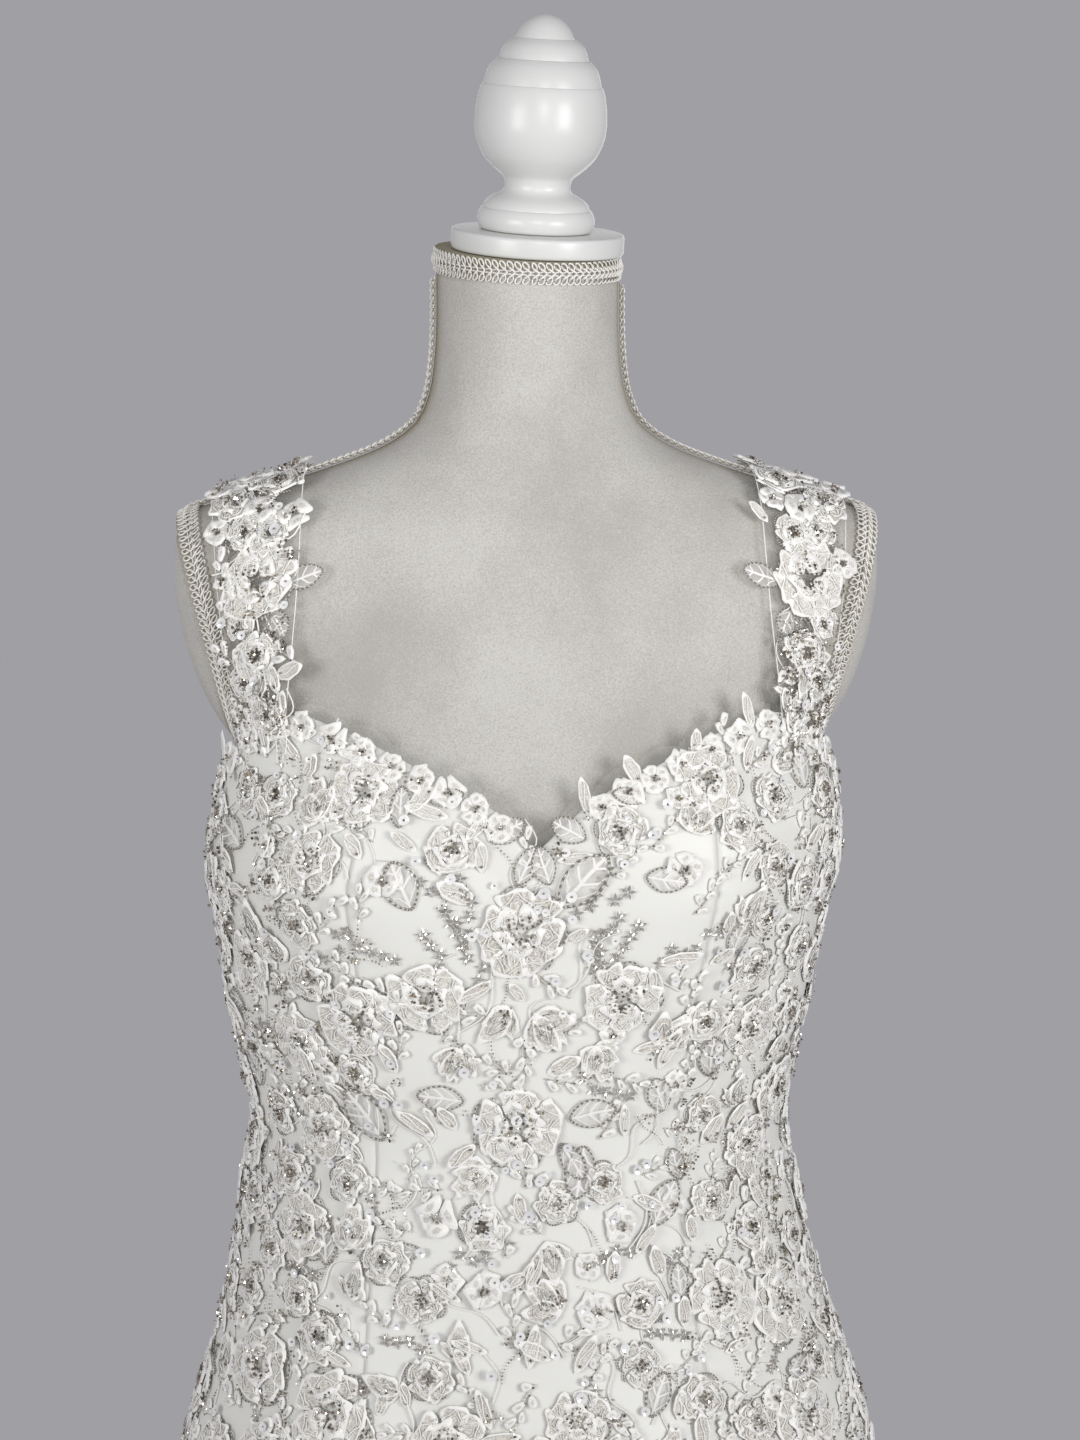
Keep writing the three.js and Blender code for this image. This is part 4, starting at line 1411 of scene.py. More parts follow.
    def sprig(self, leaves: int) -> Kind:
        """A stem with small pointed leaves on both sides.

        Args:
            leaves: Leaves along the stem.

        Returns:
            The sprig's layers.
        """
        bm = stamp_mesh()
        pitch = 4.4
        small = Petal(8.5, 4.8, 0.6, 1.2, 0.6, COARSE_LINES, 0.0)
        for number in range(leaves):
            leaf = small.add_to(bm, (0.75 if number % 2 else -0.75) * (1 - 0.14 * number), self.chance)
            bmesh.ops.translate(bm, vec=(0, -10 + pitch * number, 0), verts=leaf)
        tube(bm, lambda share: (1.2 * np.sin(4 * share), -11 + 24 * share, 0 * share + 0.9), 0.45, 10, 3)
        places = [(0.0, -9 + pitch * number, 1.5, 0.7) for number in range(leaves)]
        return [MotifPart(Layer.THREAD, Stamp.from_mesh(bm)), self.beads(places)]

    def spray(self, stars: int) -> Kind:
        """A loose row of small five-rayed stars of metal thread, each with a bead in its middle.

        Args:
            stars: Stars in the row.

        Returns:
            The spray's layer.
        """
        bm = stamp_mesh()
        ray = Matrix.Translation((0, 2.1, 0)) @ Matrix.Diagonal((0.95, 2.1, 0.6, 1))
        for number in range(stars):
            middle = Matrix.Translation((6.6 * (number - (stars - 1) / 2), self.chance.normal(0, 3.6), 0.9))
            for turn in range(5):
                turned = middle @ Matrix.Rotation(math.tau * turn / 5 + number, 4, "Z")
                self.add_bead(bm, turned @ ray, 1.0, self.chance.uniform(0.62, 0.86))
            self.add_bead(bm, middle @ Matrix.Translation((0, 0, 0.6)), 0.9, 0.88)
        return [MotifPart(Layer.BEAD, Stamp.from_mesh(bm), 0.12)]

    def vine(self, length: float, sway: float, turns: float) -> Kind:
        """A laid cord that winds between the flowers.

        Args:
            length: From end to end.
            sway: How far it swings to each side.
            turns: Swings along its length.

        Returns:
            The vine's layer.
        """

        def path(share: Array) -> tuple[Array, Array, Array]:
            """Gives the vine's line."""
            swing = sway * np.sin(share * turns * math.tau) * (0.4 + 0.6 * share)
            return swing, (share - 0.5) * length, 0 * share + 0.7

        return [MotifPart(Layer.THREAD, Stamp.from_cord(path, 0.5, 18, 3))]

    def bead_line(self, count: int) -> Kind:
        """A winding line of small beads.

        Args:
            count: Beads in the line.

        Returns:
            The line's layer.
        """
        sway = self.chance.uniform(2, 5) * self.chance.choice([-1, 1])
        places = []
        for share in np.arange(count) / (count - 1) - 0.5:
            radius = self.chance.uniform(0.5, 0.75)
            places.append((sway * math.sin(4.2 * share), 1.8 * count * share, 1.1, radius))
        return [self.beads(places)]

    def bead_group(self, count: int) -> Kind:
        """Beads heaped together, the topmost standing off the cloth.

        Args:
            count: Beads in the heap.

        Returns:
            The heap's layer.
        """
        places = []
        for _ in range(count):
            x, y = self.chance.normal(0, 2.1, 2)
            out = 1.2 + self.chance.exponential(1.1)
            places.append((x, y, min(out, 5.0), self.chance.uniform(0.6, 1.05)))
        return [self.beads(places)]

    def sequin(self) -> Kind:
        """A cupped sequin held by a bead.

        Returns:
            The sequin's layers.
        """
        bm = stamp_mesh()
        radius = 2.6
        bmesh.ops.create_circle(bm, cap_ends=True, cap_tris=True, segments=10, radius=radius)
        for vert in bm.verts:
            vert.co.z = 2.6 + 0.6 * vert.co.xy.length / radius
        return [MotifPart(Layer.SEQUIN, Stamp.from_mesh(bm)), self.beads([(0, 0, 3.1, 0.65)])]


class Spot(NamedTuple):
    """Where one motif is laid: chart place, turn in degrees and size."""

    a: float
    b: float
    turn: float
    size: float


Area = tuple[float, float, float, float]


class LacePlan:
    """Decides where each motif goes on one chart."""

    def __init__(self, chart: Chart, seed: int) -> None:
        """Starts an empty plan.

        Args:
            chart: The face that takes the motifs.
            seed: Makes the same choices every time.
        """
        self.chart = chart
        self.chance = np.random.default_rng(seed)
        self.spots: dict[Motif, list[Spot]] = {motif: [] for motif in Motif}
        self.taken = np.zeros((0, 4))

    def put(self, motif: Motif, a: float, b: float, turn: float, size: float = 1.0) -> None:
        """Lays one motif and keeps its place free of others.

        Args:
            motif: What is laid.
            a: Its place across.
            b: Its place upwards.
            turn: Its turn in degrees.
            size: Its size, as a share.
        """
        self.spots[motif].append(Spot(a, b, turn, size))
        point = self.chart.points(np.array([a]), np.array([b]))
        self.taken = np.vstack([self.taken, np.append(point, motif.value * size)])

    def has_room(self, point: Array, radius: float, tight: float) -> bool:
        """Whether a motif of a radius lies clear of those laid; with tight 1 they may meet edge to edge."""
        away = np.linalg.norm(self.taken[:, :3] - point, axis=1)
        return bool(np.all(away > (self.taken[:, 3] + radius) * tight))

    def scatter(
        self,
        motif: Motif,
        tries: int,
        area: Area,
        cover: Place,
        stray: float,
        tight: float = 0.0,
        lean: float = 0.0,
    ) -> None:
        """Scatters a motif where there is room, or over everything else.

        Args:
            motif: What is scattered.
            tries: How often a place is tried.
            area: Lowest and highest place across, then upwards.
            cover: How likely a place takes the motif, from 0 to 1.
            stray: How far its turn strays, in degrees.
            tight: How near motifs come, 1 for edge to edge, or 0 to lie over others.
            lean: The usual turn away from the front, in degrees.
        """
        least, most = (0.82, 1.15) if tight else (0.75, 1.2)
        a = self.chance.uniform(area[0], area[1], tries)
        b = self.chance.uniform(area[2], area[3], tries)
        size = self.chance.uniform(least, most, tries)
        turn = -lean * np.sign(a) + self.chance.normal(0, stray, tries)
        points = self.chart.points(a, b)
        for number in np.flatnonzero(self.chance.random(tries) < cover(a, b)):
            spot = Spot(a[number], b[number], turn[number], size[number])
            if not tight:
                self.spots[motif].append(spot)
            elif self.has_room(points[number], motif.value * spot.size, tight):
                self.put(motif, *spot)


Trimmings = dict[tuple[str, Layer], Trimming]


@dataclass
class Appliques:
    """All lace motifs, beads and sequins that are sewn to the dress and its straps."""

    dress: DressBody
    finishes: dict[Layer, Material]
    lowest: float = 560.0
    dense_from: float = 880.0
    clear_satin: tuple[tuple[float, float, float], ...] = (
        (30, 1190, 24), (-30, 1186, 24), (7, 1118, 14), (-16, 1030, 20), (6, 1030, 14), (19, 1078, 16),
    )

    def cover(self, degrees: Array, z: Array) -> Array:
        """How thickly the lace lies: open at the centre front, thick at the sides, thin on the skirt.

        Args:
            degrees: Angles from centre front.
            z: Heights.

        Returns:
            The chance that a place takes a motif.
        """
        side = smooth_step(24, 50, np.abs(degrees))
        fade = smooth_step(self.lowest, self.dense_from, z) ** 1.6
        is_open = (z < self.dress.top(degrees) - 4) & ((np.abs(degrees) < 171) | (z < 930))
        behind = 1 - 0.45 * smooth_step(95, 125, np.abs(degrees))
        cover = (0.85 + 0.15 * side) * fade * is_open * behind
        for angle, height, reach in self.clear_satin:
            cover = cover * (1 - 0.9 * bell(np.hypot((degrees - angle) * 2.1, z - height), reach))
        return cover

    def bead_cover(self, degrees: Array, z: Array) -> Array:
        """How thickly loose beads lie: mostly at the sides."""
        return self.cover(degrees, z) * (0.2 + 0.8 * smooth_step(30, 62, np.abs(degrees)))

    def hand_placed(self, plan: LacePlan) -> None:
        """Lays the large flowers and leaves that lead the eye down the front, nearly the same on both sides.

        Args:
            plan: The dress's plan.
        """
        laid = [
            (Motif.BIG_FLOWER, -3, 1178, 10, 1.15), (Motif.BIG_FLOWER, -3, 1072, 200, 1.1),
            (Motif.NET_LEAF, 7, 1192, -40, 1.2), (Motif.NET_LEAF, 11, 1076, -78, 1.0),
            (Motif.NET_LEAF, 9, 1062, -150, 1.0), (Motif.NET_LEAF, 15, 1060, -190, 1.0),
            (Motif.STITCHED_LEAF, -14, 1194, 60, 1.2), (Motif.STITCHED_LEAF, -14, 1062, 130, 1.2),
            (Motif.MEDIUM_FLOWER, -12, 1018, 40, 1.0), (Motif.MEDIUM_FLOWER, 8, 1030, 100, 0.9),
            (Motif.LOBED_LEAF, -8, 1128, 150, 1.1), (Motif.LOBED_LEAF, 5, 1124, 215, 1.15),
            (Motif.LOBED_LEAF, -15, 1042, 130, 1.0), (Motif.LOBED_LEAF, 6, 1000, 200, 1.0),
        ]
        fillers = [
            (-9, 1152, 120), (5, 1150, -130), (-10, 1106, 60), (5, 1100, -60), (-1, 1110, 180),
            (-12, 1042, 150), (-3, 1036, 190), (4, 1040, 230), (-8, 1012, 20), (3, 1006, 160),
            (10, 1096, -100), (-5, 966, 0), (4, 948, 60), (-3, 926, 150),
        ]
        for number, spot in enumerate(fillers):
            laid.append((Motif.SPRIG if number % 3 else Motif.STITCHED_LEAF, *spot, 1.05))
        stars = ((15, 1198, 70), (19, 1184, 60), (15, 1168, 80), (22, 1170, 65), (36, 1168, 15))
        for side in (-1, 1):
            near = 1 if side > 0 else 0
            laid += [
                (Motif.BIG_FLOWER, side * 25 - 2 * near, 1143 - 2 * near, 40 * side, 0.98),
                (Motif.BIG_FLOWER, side * 40, 1250 + 5 * near, 75 * side, 0.9),
                (Motif.MEDIUM_FLOWER, side * 20, 1222 + 8 * near, 20 * side, 1.05),
                (Motif.SMALL_FLOWER, side * 33, 1206 + 4 * near, 0, 1.2),
                (Motif.BIG_FLOWER, side * 55, 1112 + 6 * near, 120 * side, 0.85),
                (Motif.MEDIUM_FLOWER, side * 27, 978 - 4 * near, 15 * side, 1.0),
                (Motif.SMALL_FLOWER, side * 14 + 2, 984 - 12 * near, 50, 1.25),
                (Motif.SMALL_FLOWER, side * 24, 1022 - 6 * near, 100, 1.2),
                (Motif.MEDIUM_FLOWER, side * 25, 938 + 4 * near, 80, 0.95),
                (Motif.NET_LEAF, side * 12, 1226, 62 * side, 0.85),
                (Motif.NET_LEAF, side * 26, 1246, 78 * side, 0.8),
                (Motif.LOBED_LEAF, side * 19, 1106, -160 * side, 0.95),
                (Motif.STITCHED_LEAF, side * 33, 1100, -20 * side, 1.2),
                (Motif.VINE, side * 30, 1068, -35 * side, 1.0),
                (Motif.VINE, side * 12, 1022, 30 * side, 0.9),
            ]
            laid += [(Motif.SPRAY, side * degrees, z, turn * side, 1.0) for degrees, z, turn in stars]
            laid += [
                (Motif.SPRAY, side * 17 + 4, 1003, 12, 1.0),
                (Motif.SPRAY, side * 31, 957, -8, 1.0),
                (Motif.NET_LEAF, side * 4, 1203, 22 * side, 0.75),
            ]
        for spot in laid:
            plan.put(*spot)

    def edge_run(self, plan: LacePlan) -> None:
        """Lays flowers and leaves along the top edge, so that their tips break its line.

        Args:
            plan: The dress's plan.
        """
        kinds = (Motif.SMALL_FLOWER, Motif.SPRIG, Motif.SMALL_FLOWER, Motif.STITCHED_LEAF)
        for number, degrees in enumerate(np.arange(-176, 177, 3.2)):
            height = self.dress.top(degrees) - 5.5
            kind = kinds[number % 4]
            point = self.dress.points(degrees, height)
            if abs(degrees) > 8 and plan.has_room(point, kind.value, 0.44):
                slope = float(self.dress.top(degrees + 1) - self.dress.top(degrees - 1))
                plan.put(kind, degrees, float(height), 70 - 20 * slope + plan.chance.normal(0, 25), 0.95)

    def plan_dress(self) -> LacePlan:
        """Plans all motifs on the dress.

        Returns:
            The plan.
        """
        plan = LacePlan(DressChart(self.dress), 5)
        area = (-180.0, 180.0, self.lowest, 1288.0)
        self.hand_placed(plan)
        self.edge_run(plan)
        plan.scatter(Motif.BIG_FLOWER, 400, area, self.bead_cover, 40, 0.95, 35)
        plan.scatter(Motif.MEDIUM_FLOWER, 1300, area, self.cover, 40, 0.9, 35)
        plan.scatter(Motif.NET_LEAF, 700, area, self.cover, 40, 0.8, 35)
        plan.scatter(Motif.LOBED_LEAF, 900, area, self.cover, 40, 0.74, 35)
        plan.scatter(Motif.SPRIG, 2800, area, self.cover, 40, 0.66, 35)
        plan.scatter(Motif.STITCHED_LEAF, 3000, area, self.cover, 40, 0.66, 35)
        plan.scatter(Motif.SMALL_FLOWER, 3500, area, self.cover, 40, 0.74, 35)
        plan.scatter(Motif.SPRAY, 900, area, self.cover, 40, 0.62)
        plan.scatter(Motif.VINE, 420, area, self.cover, 40)
        plan.scatter(Motif.BEAD_LINE, 1300, area, self.bead_cover, 30)
        plan.scatter(Motif.BEAD_GROUP, 2600, area, self.bead_cover, 90)
        plan.scatter(Motif.SEQUIN, 900, area, self.cover, 90)
        return plan

    def plan_strap(self, chart: StrapChart, side: int) -> LacePlan:
        """Plans the motifs on one strap.

        Args:
            chart: The strap's face.
            side: 1 for the wearer's left, -1 for the right.

        Returns:
            The plan.
        """
        plan = LacePlan(chart, 21 + side)
        laid = [
            (Motif.BIG_FLOWER, 0.5, 0.28, 15, 1.02), (Motif.SPRAY, 0.75, 0.335, 20, 0.8),
            (Motif.SPRAY, 0.3, 0.2, 60, 0.8), (Motif.MEDIUM_FLOWER, 0.5, 0.165, 40, 1.0),
            (Motif.MEDIUM_FLOWER, 0.72, 0.22, 40, 0.7), (Motif.MEDIUM_FLOWER, 0.25, 0.42, 10, 1.0),
            (Motif.MEDIUM_FLOWER, 0.72, 0.395, 70, 1.05), (Motif.SMALL_FLOWER, 0.45, 0.37, 20, 1.1),
            (Motif.MEDIUM_FLOWER, 0.35, 0.335, 60, 0.85), (Motif.MEDIUM_FLOWER, 0.62, 0.345, 10, 0.85),
            (Motif.LOBED_LEAF, 0.4, 0.115, 170, 0.8), (Motif.MEDIUM_FLOWER, 0.68, 0.11, 100, 0.8),
            (Motif.MEDIUM_FLOWER, 0.3, 0.06, 30, 0.8), (Motif.SMALL_FLOWER, 0.88, 0.44, 20, 1.1),
            (Motif.SMALL_FLOWER, 0.5, 0.46, 20, 1.1), (Motif.NET_LEAF, 0.16, 0.27, 80, 0.75),
            (Motif.NET_LEAF, 0.3, 0.235, 150, 0.75), (Motif.STITCHED_LEAF, 0.12, 0.06, 10, 0.8),
            (Motif.SPRIG, 0.08, 0.43, 20, 0.8), (Motif.BIG_FLOWER, 0.5, 0.72, 100, 0.85),
            (Motif.MEDIUM_FLOWER, 0.5, 0.58, 30, 0.95), (Motif.MEDIUM_FLOWER, 0.5, 0.86, 10, 0.9),
        ]
        for motif, share, along, turn, size in laid:
            plan.put(motif, share if side > 0 else 1 - share, along, turn * side, size)
        area = (0.05, 0.95, 0.01, 0.99)

        def joint(a: Array, b: Array) -> Array:
            """Thick where the strap meets the bodice, thin above."""
            return 0.3 + 0.7 * (1 - smooth_step(0.12, 0.24, b) + smooth_step(0.9, 0.98, b))

        def beaded(a: Array, b: Array) -> Array:
            """As thick as the joint, and thick on top of the shoulder."""
            return np.maximum(joint(a, b), bell(b - 0.4, 0.05))

        def everywhere(a: Array, b: Array) -> Array:
            """The same all over."""
            return 0 * a + 1

        plan.scatter(Motif.SPRIG, 160, area, joint, 40, 0.55)
        plan.scatter(Motif.STITCHED_LEAF, 200, area, joint, 40, 0.55)
        plan.scatter(Motif.SMALL_FLOWER, 300, area, everywhere, 40, 0.74)
        plan.scatter(Motif.BEAD_LINE, 90, area, joint, 20)
        plan.scatter(Motif.BEAD_GROUP, 170, area, beaded, 90)
        plan.scatter(Motif.VINE, 30, area, joint, 30)
        plan.scatter(Motif.SEQUIN, 20, area, everywhere, 90)
        return plan

    def strap_edge(self, chart: StrapChart, share: float) -> Stamp:
        """Thin cord that binds one edge of a strap.

        Args:
            chart: The strap's face.
            share: The edge's place across the strap.

        Returns:
            The cord, already in place.
        """

        def path(along: Array) -> tuple[Array, Array, Array]:
            """Gives the edge's line."""
            return tuple(chart.points(0 * along + share, np.clip(along, 0.001, 0.999)).T)

        return Stamp.from_cord(path, 0.3, 90, 4, away=(1.0, 0.2, 0.1))

    def lay(self, plan: LacePlan, kit: MotifKit, trimmings: Trimmings, region: str) -> None:
        """Lays a plan's motifs into the trimmings of a region.

        Args:
            plan: Where the motifs go.
            kit: Their stamps.
            trimmings: Collects the copies by region and layer.
            region: The region's name, or an empty name to part the dress in quarters.
        """
        for motif, spots in plan.spots.items():
            kinds = kit.kinds[motif]
            for number, kind in enumerate(kinds):
                parts: dict[str, list[Spot]] = {}
                for spot in spots[number::len(kinds)]:
                    quarter = f"{'front' if abs(spot.a) < 93 else 'back'}_{'left' if spot.a > 0 else 'right'}"
                    parts.setdefault(region or quarter, []).append(spot)
                for label in sorted(parts):
                    self.lay_kind(plan, kind, np.array(parts[label]), trimmings, label)

    def lay_kind(self, plan: LacePlan, kind: Kind, spots: Array, trimmings: Trimmings, label: str) -> None:
        """Lays one kind of a motif at its spots.

        Args:
            plan: The plan, for its chart.
            kind: The motif's layers.
            spots: Places, turns and sizes as rows.
            trimmings: Collects the copies by region and layer.
            label: The region.
        """
        turn = np.radians(spots[:, 2])[:, None]
        size = spots[:, 3][:, None]
        tone = plan.chance.random(len(spots))
        stand_off = plan.chance.uniform(0.0, 1.2, len(spots))[:, None]
        for part in kind:
            x, y, z = part.stamp.points.T
            flat_x = (np.cos(turn) * x - np.sin(turn) * y) * size
            flat_y = (np.sin(turn) * x + np.cos(turn) * y) * size
            local = np.stack([flat_x, flat_y, z * size + stand_off], axis=-1)
            placed = plan.chart.lay(local, spots[:, 0], spots[:, 1])
            trimmings.setdefault((label, part.layer), Trimming()).add(part.stamp, placed, tone * part.stray)

    def build(self, straps: dict[int, StrapChart]) -> None:
        """Lays and joins everything.

        Args:
            straps: The charts of the left and right strap.
        """
        kit = MotifKit()
        trimmings: Trimmings = {}
        self.lay(self.plan_dress(), kit, trimmings, "")
        for side, label in ((1, "strap_left"), (-1, "strap_right")):
            self.lay(self.plan_strap(straps[side], side), kit, trimmings, label)
            for share in (0.02, 0.98):
                trimmings[label, Layer.THREAD].add_one(self.strap_edge(straps[side], share))
        for (label, layer), trimming in trimmings.items():
            is_smooth = layer not in (Layer.BEAD, Layer.SEQUIN)
            trimming.piece(f"lace_{layer.value}_{label}", self.finishes[layer], is_smooth, "net_lace")


# Sewn cloth

class Panel(NamedTuple):
    """One cut piece of the dress: its seams, and the width, length and area of its cut in metres."""

    name: str
    start: float
    end: float
    width: float
    length: float
    area: float


@dataclass
class Gown:
    """The sewn cloth of the dress: panels, neckline lace and net, straps, placket and buttons."""

    dress: DressBody
    satin: Material
    net: Material
    panels: tuple[Panel, ...] = (
        Panel("dress_front", -40, 40, 0.64, 1.30, 0.43),
        Panel("dress_side_front_left", 40, 92, 0.44, 1.32, 0.31),
        Panel("dress_side_front_right", -92, -40, 0.44, 1.32, 0.31),
        Panel("dress_side_back_left", 92, 140, 0.42, 1.30, 0.285),
        Panel("dress_side_back_right", -140, -92, 0.42, 1.30, 0.285),
        Panel("dress_back_left", 140, 180, 0.36, 1.30, 0.224),
        Panel("dress_back_right", -180, -140, 0.36, 1.30, 0.224),
    )
    rows: int = 120
    degrees_per_column: float = 1.25
    strap_size: tuple[float, float] = (0.044, 0.44)
    placket_half_width: float = 8.0
    placket_bottom_z: float = 950.0
    button_count: int = 12
    button_pitch: float = 23.0
    button_radius: float = 5.5
    button_height: float = 4.5
    first_button: float = 12.0

    def cut(self, node: str, ending: str, faces: tuple[int, int], place: Place, wall: float = 0.0) -> Piece:
        """Makes one cut piece, of satin if it has a wall and of net if not.

        Args:
            node: The node that it stands for.
            ending: The last word of its name.
            faces: Faces across and upwards.
            place: Gives the points for shares across and upwards.
            wall: Its thickness, inwards from its outer face.

        Returns:
            The piece.
        """
        bm = bmesh.new()
        shaped_grid(bm, *faces, place)
        measure_cloth(bm)
        material, slot = (self.satin, "ivory_satin") if wall else (self.net, "net_lace")
        piece = make_piece(f"{node}_{ending}", bm, material, slot, (node,))
        if wall:
            solid = piece.modifiers.new("thickness", "SOLIDIFY")
            solid.thickness = wall * MM
            solid.offset = -1
        return piece

    def on_dress(self, degrees: Array, z: Array, out: Array | float) -> Array:
        """Places lifted off the dress."""
        points, _, _, normals = DressChart(self.dress).frames(degrees, z)
        return points + normals * np.broadcast_to(out, z.shape)[..., None]

    def creases(self, degrees: Array, z: Array) -> Array:
        """Small soft pulls in the cloth, uneven, under 4 mm deep.

        Args:
            degrees: Angles from centre front.
            z: Heights.

        Returns:
            How far the cloth stands out.
        """
        hip = bell(z - 840, 120) * np.sin(np.radians(degrees * 7 + z * 0.35))
        wander = 40 * np.sin(np.radians(degrees * 3))
        hem = smooth_step(700, 60, z) * np.sin(np.radians(degrees * 19 + wander))
        slack = smooth_step(800, 300, z) * np.sin(z * 0.021 + np.radians(degrees * 5))
        return 0.5 * hip + 2.2 * hem + 1.0 * slack

    def panel(self, cut: Panel) -> None:
        """Sews one panel.

        Args:
            cut: The panel's seams and cut.
        """

        def place(u: Array, v: Array) -> Array:
            """Gives the panel's points, drawn in a little along each seam."""
            degrees = cut.start + (cut.end - cut.start) * u
            z = HEM_Z + (self.dress.top(degrees) - HEM_Z) * v**0.8
            seam = np.minimum(degrees - cut.start, cut.end - degrees)
            tuck = -0.3 * bell(seam, 0.55)
            return self.on_dress(degrees, z, tuck + self.creases(degrees, z))

        columns = round((cut.end - cut.start) / self.degrees_per_column)
        piece = self.cut(cut.name, "cloth", (columns, self.rows), place, CLOTH)

    def neckline_lace(self, name: str, side: int) -> None:
        """Net ground of the lace along one half of the neckline, with its scalloped edge.

        Args:
            name: The node that it stands for.
            side: 1 for the wearer's left, -1 for the right.
        """

        def place(u: Array, v: Array) -> Array:
            """Gives the net's points."""
            start, end = (4, 55) if side > 0 else (-55, -4)
            degrees = start + (end - start) * u
            wave = 4 * np.abs(np.sin(math.pi * 5 * (np.abs(degrees) - 4) / 51))
            top = self.dress.top(degrees)
            low, high = top - 30 - wave, top + 5 + wave
            return self.on_dress(degrees, low + (high - low) * v, LAP_GAP + LACE)

        piece = self.cut(name, "ground", (60, 8), place)

    def neckline_net(self) -> None:
        """Net behind the notch of the sweetheart neckline."""

        def place(u: Array, v: Array) -> Array:
            """Gives the net's points."""
            degrees = -16 + 32 * u
            above = 8 - 7 * np.abs(degrees) / 16
            top = self.dress.top(degrees)
            return self.on_dress(degrees, top - 10 + (10 + above) * v, -CLOTH - LAP_GAP)

        piece = self.cut("neckline_net", "ground", (24, 6), place)

    def strap(self, name: str, chart: StrapChart) -> None:
        """Net ground of one strap.

        Args:
            name: The node that it stands for.
            chart: The strap's face.
        """
        bm = bmesh.new()
        shaped_grid(bm, 10, 90, chart.points)
        layer = bm.loops.layers.uv.verify()
        width, length = self.strap_size
        for face in bm.faces:
            for loop in face.loops:
                across, along = loop[layer].uv
                loop[layer].uv = (across * width, along * length)
        piece = make_piece(f"{name}_ground", bm, self.net, "net_lace", (name,))

    def placket(self) -> None:
        """Strip under the buttons at the centre back."""

        def place(u: Array, v: Array) -> Array:
            """Gives the strip's points."""
            z = self.placket_bottom_z + (float(self.dress.top(180)) - self.placket_bottom_z) * v
            radius = np.linalg.norm(self.dress.points(0 * z + 180, z)[:, :2], axis=1)
            reach = np.degrees(self.placket_half_width / radius)
            return self.on_dress(180 + reach * (2 * u - 1), z, LAP_GAP + LACE)

        piece = self.cut("back_placket", "strip", (6, 60), place, LACE)

    def buttons(self) -> None:
        """Satin-covered buttons down the centre back, in one piece."""
        bm = bmesh.new()
        radius, height = self.button_radius, self.button_height
        outline = [(0, 0), (radius * 0.88, 0), (radius, height * 0.25), (radius * 0.92, height, 0, height, 6)]
        back = np.array([180.0])
        for number in range(self.button_count):
            z = self.dress.top(back) - self.first_button - self.button_pitch * number
            point = self.on_dress(back, z, LAP_GAP + LACE + SEAM_GAP)[0]
            _, _, _, normal = DressChart(self.dress).frames(back, z)
            verts = spun(bm, outline, 16)
            matrix = Vector(normal[0]).to_track_quat("Z", "Y").to_matrix()
            bmesh.ops.rotate(bm, cent=(0, 0, 0), matrix=matrix, verts=verts)
            bmesh.ops.translate(bm, vec=Vector(point), verts=verts)
        measure_cloth(bm)
        nodes = tuple(f"back_button_{number + 1:02d}" for number in range(self.button_count))
        make_piece("back_buttons_covered", bm, self.satin, "ivory_satin", nodes)

    def build(self, straps: dict[int, StrapChart]) -> None:
        """Makes all cloth pieces.

        Args:
            straps: The charts of the left and right strap.
        """
        for cut in self.panels:
            self.panel(cut)
        self.neckline_lace("neckline_lace_left", 1)
        self.neckline_lace("neckline_lace_right", -1)
        self.neckline_net()
        self.strap("strap_left", straps[1])
        self.strap("strap_right", straps[-1])
        self.placket()
        self.buttons()


# Dress form and stand

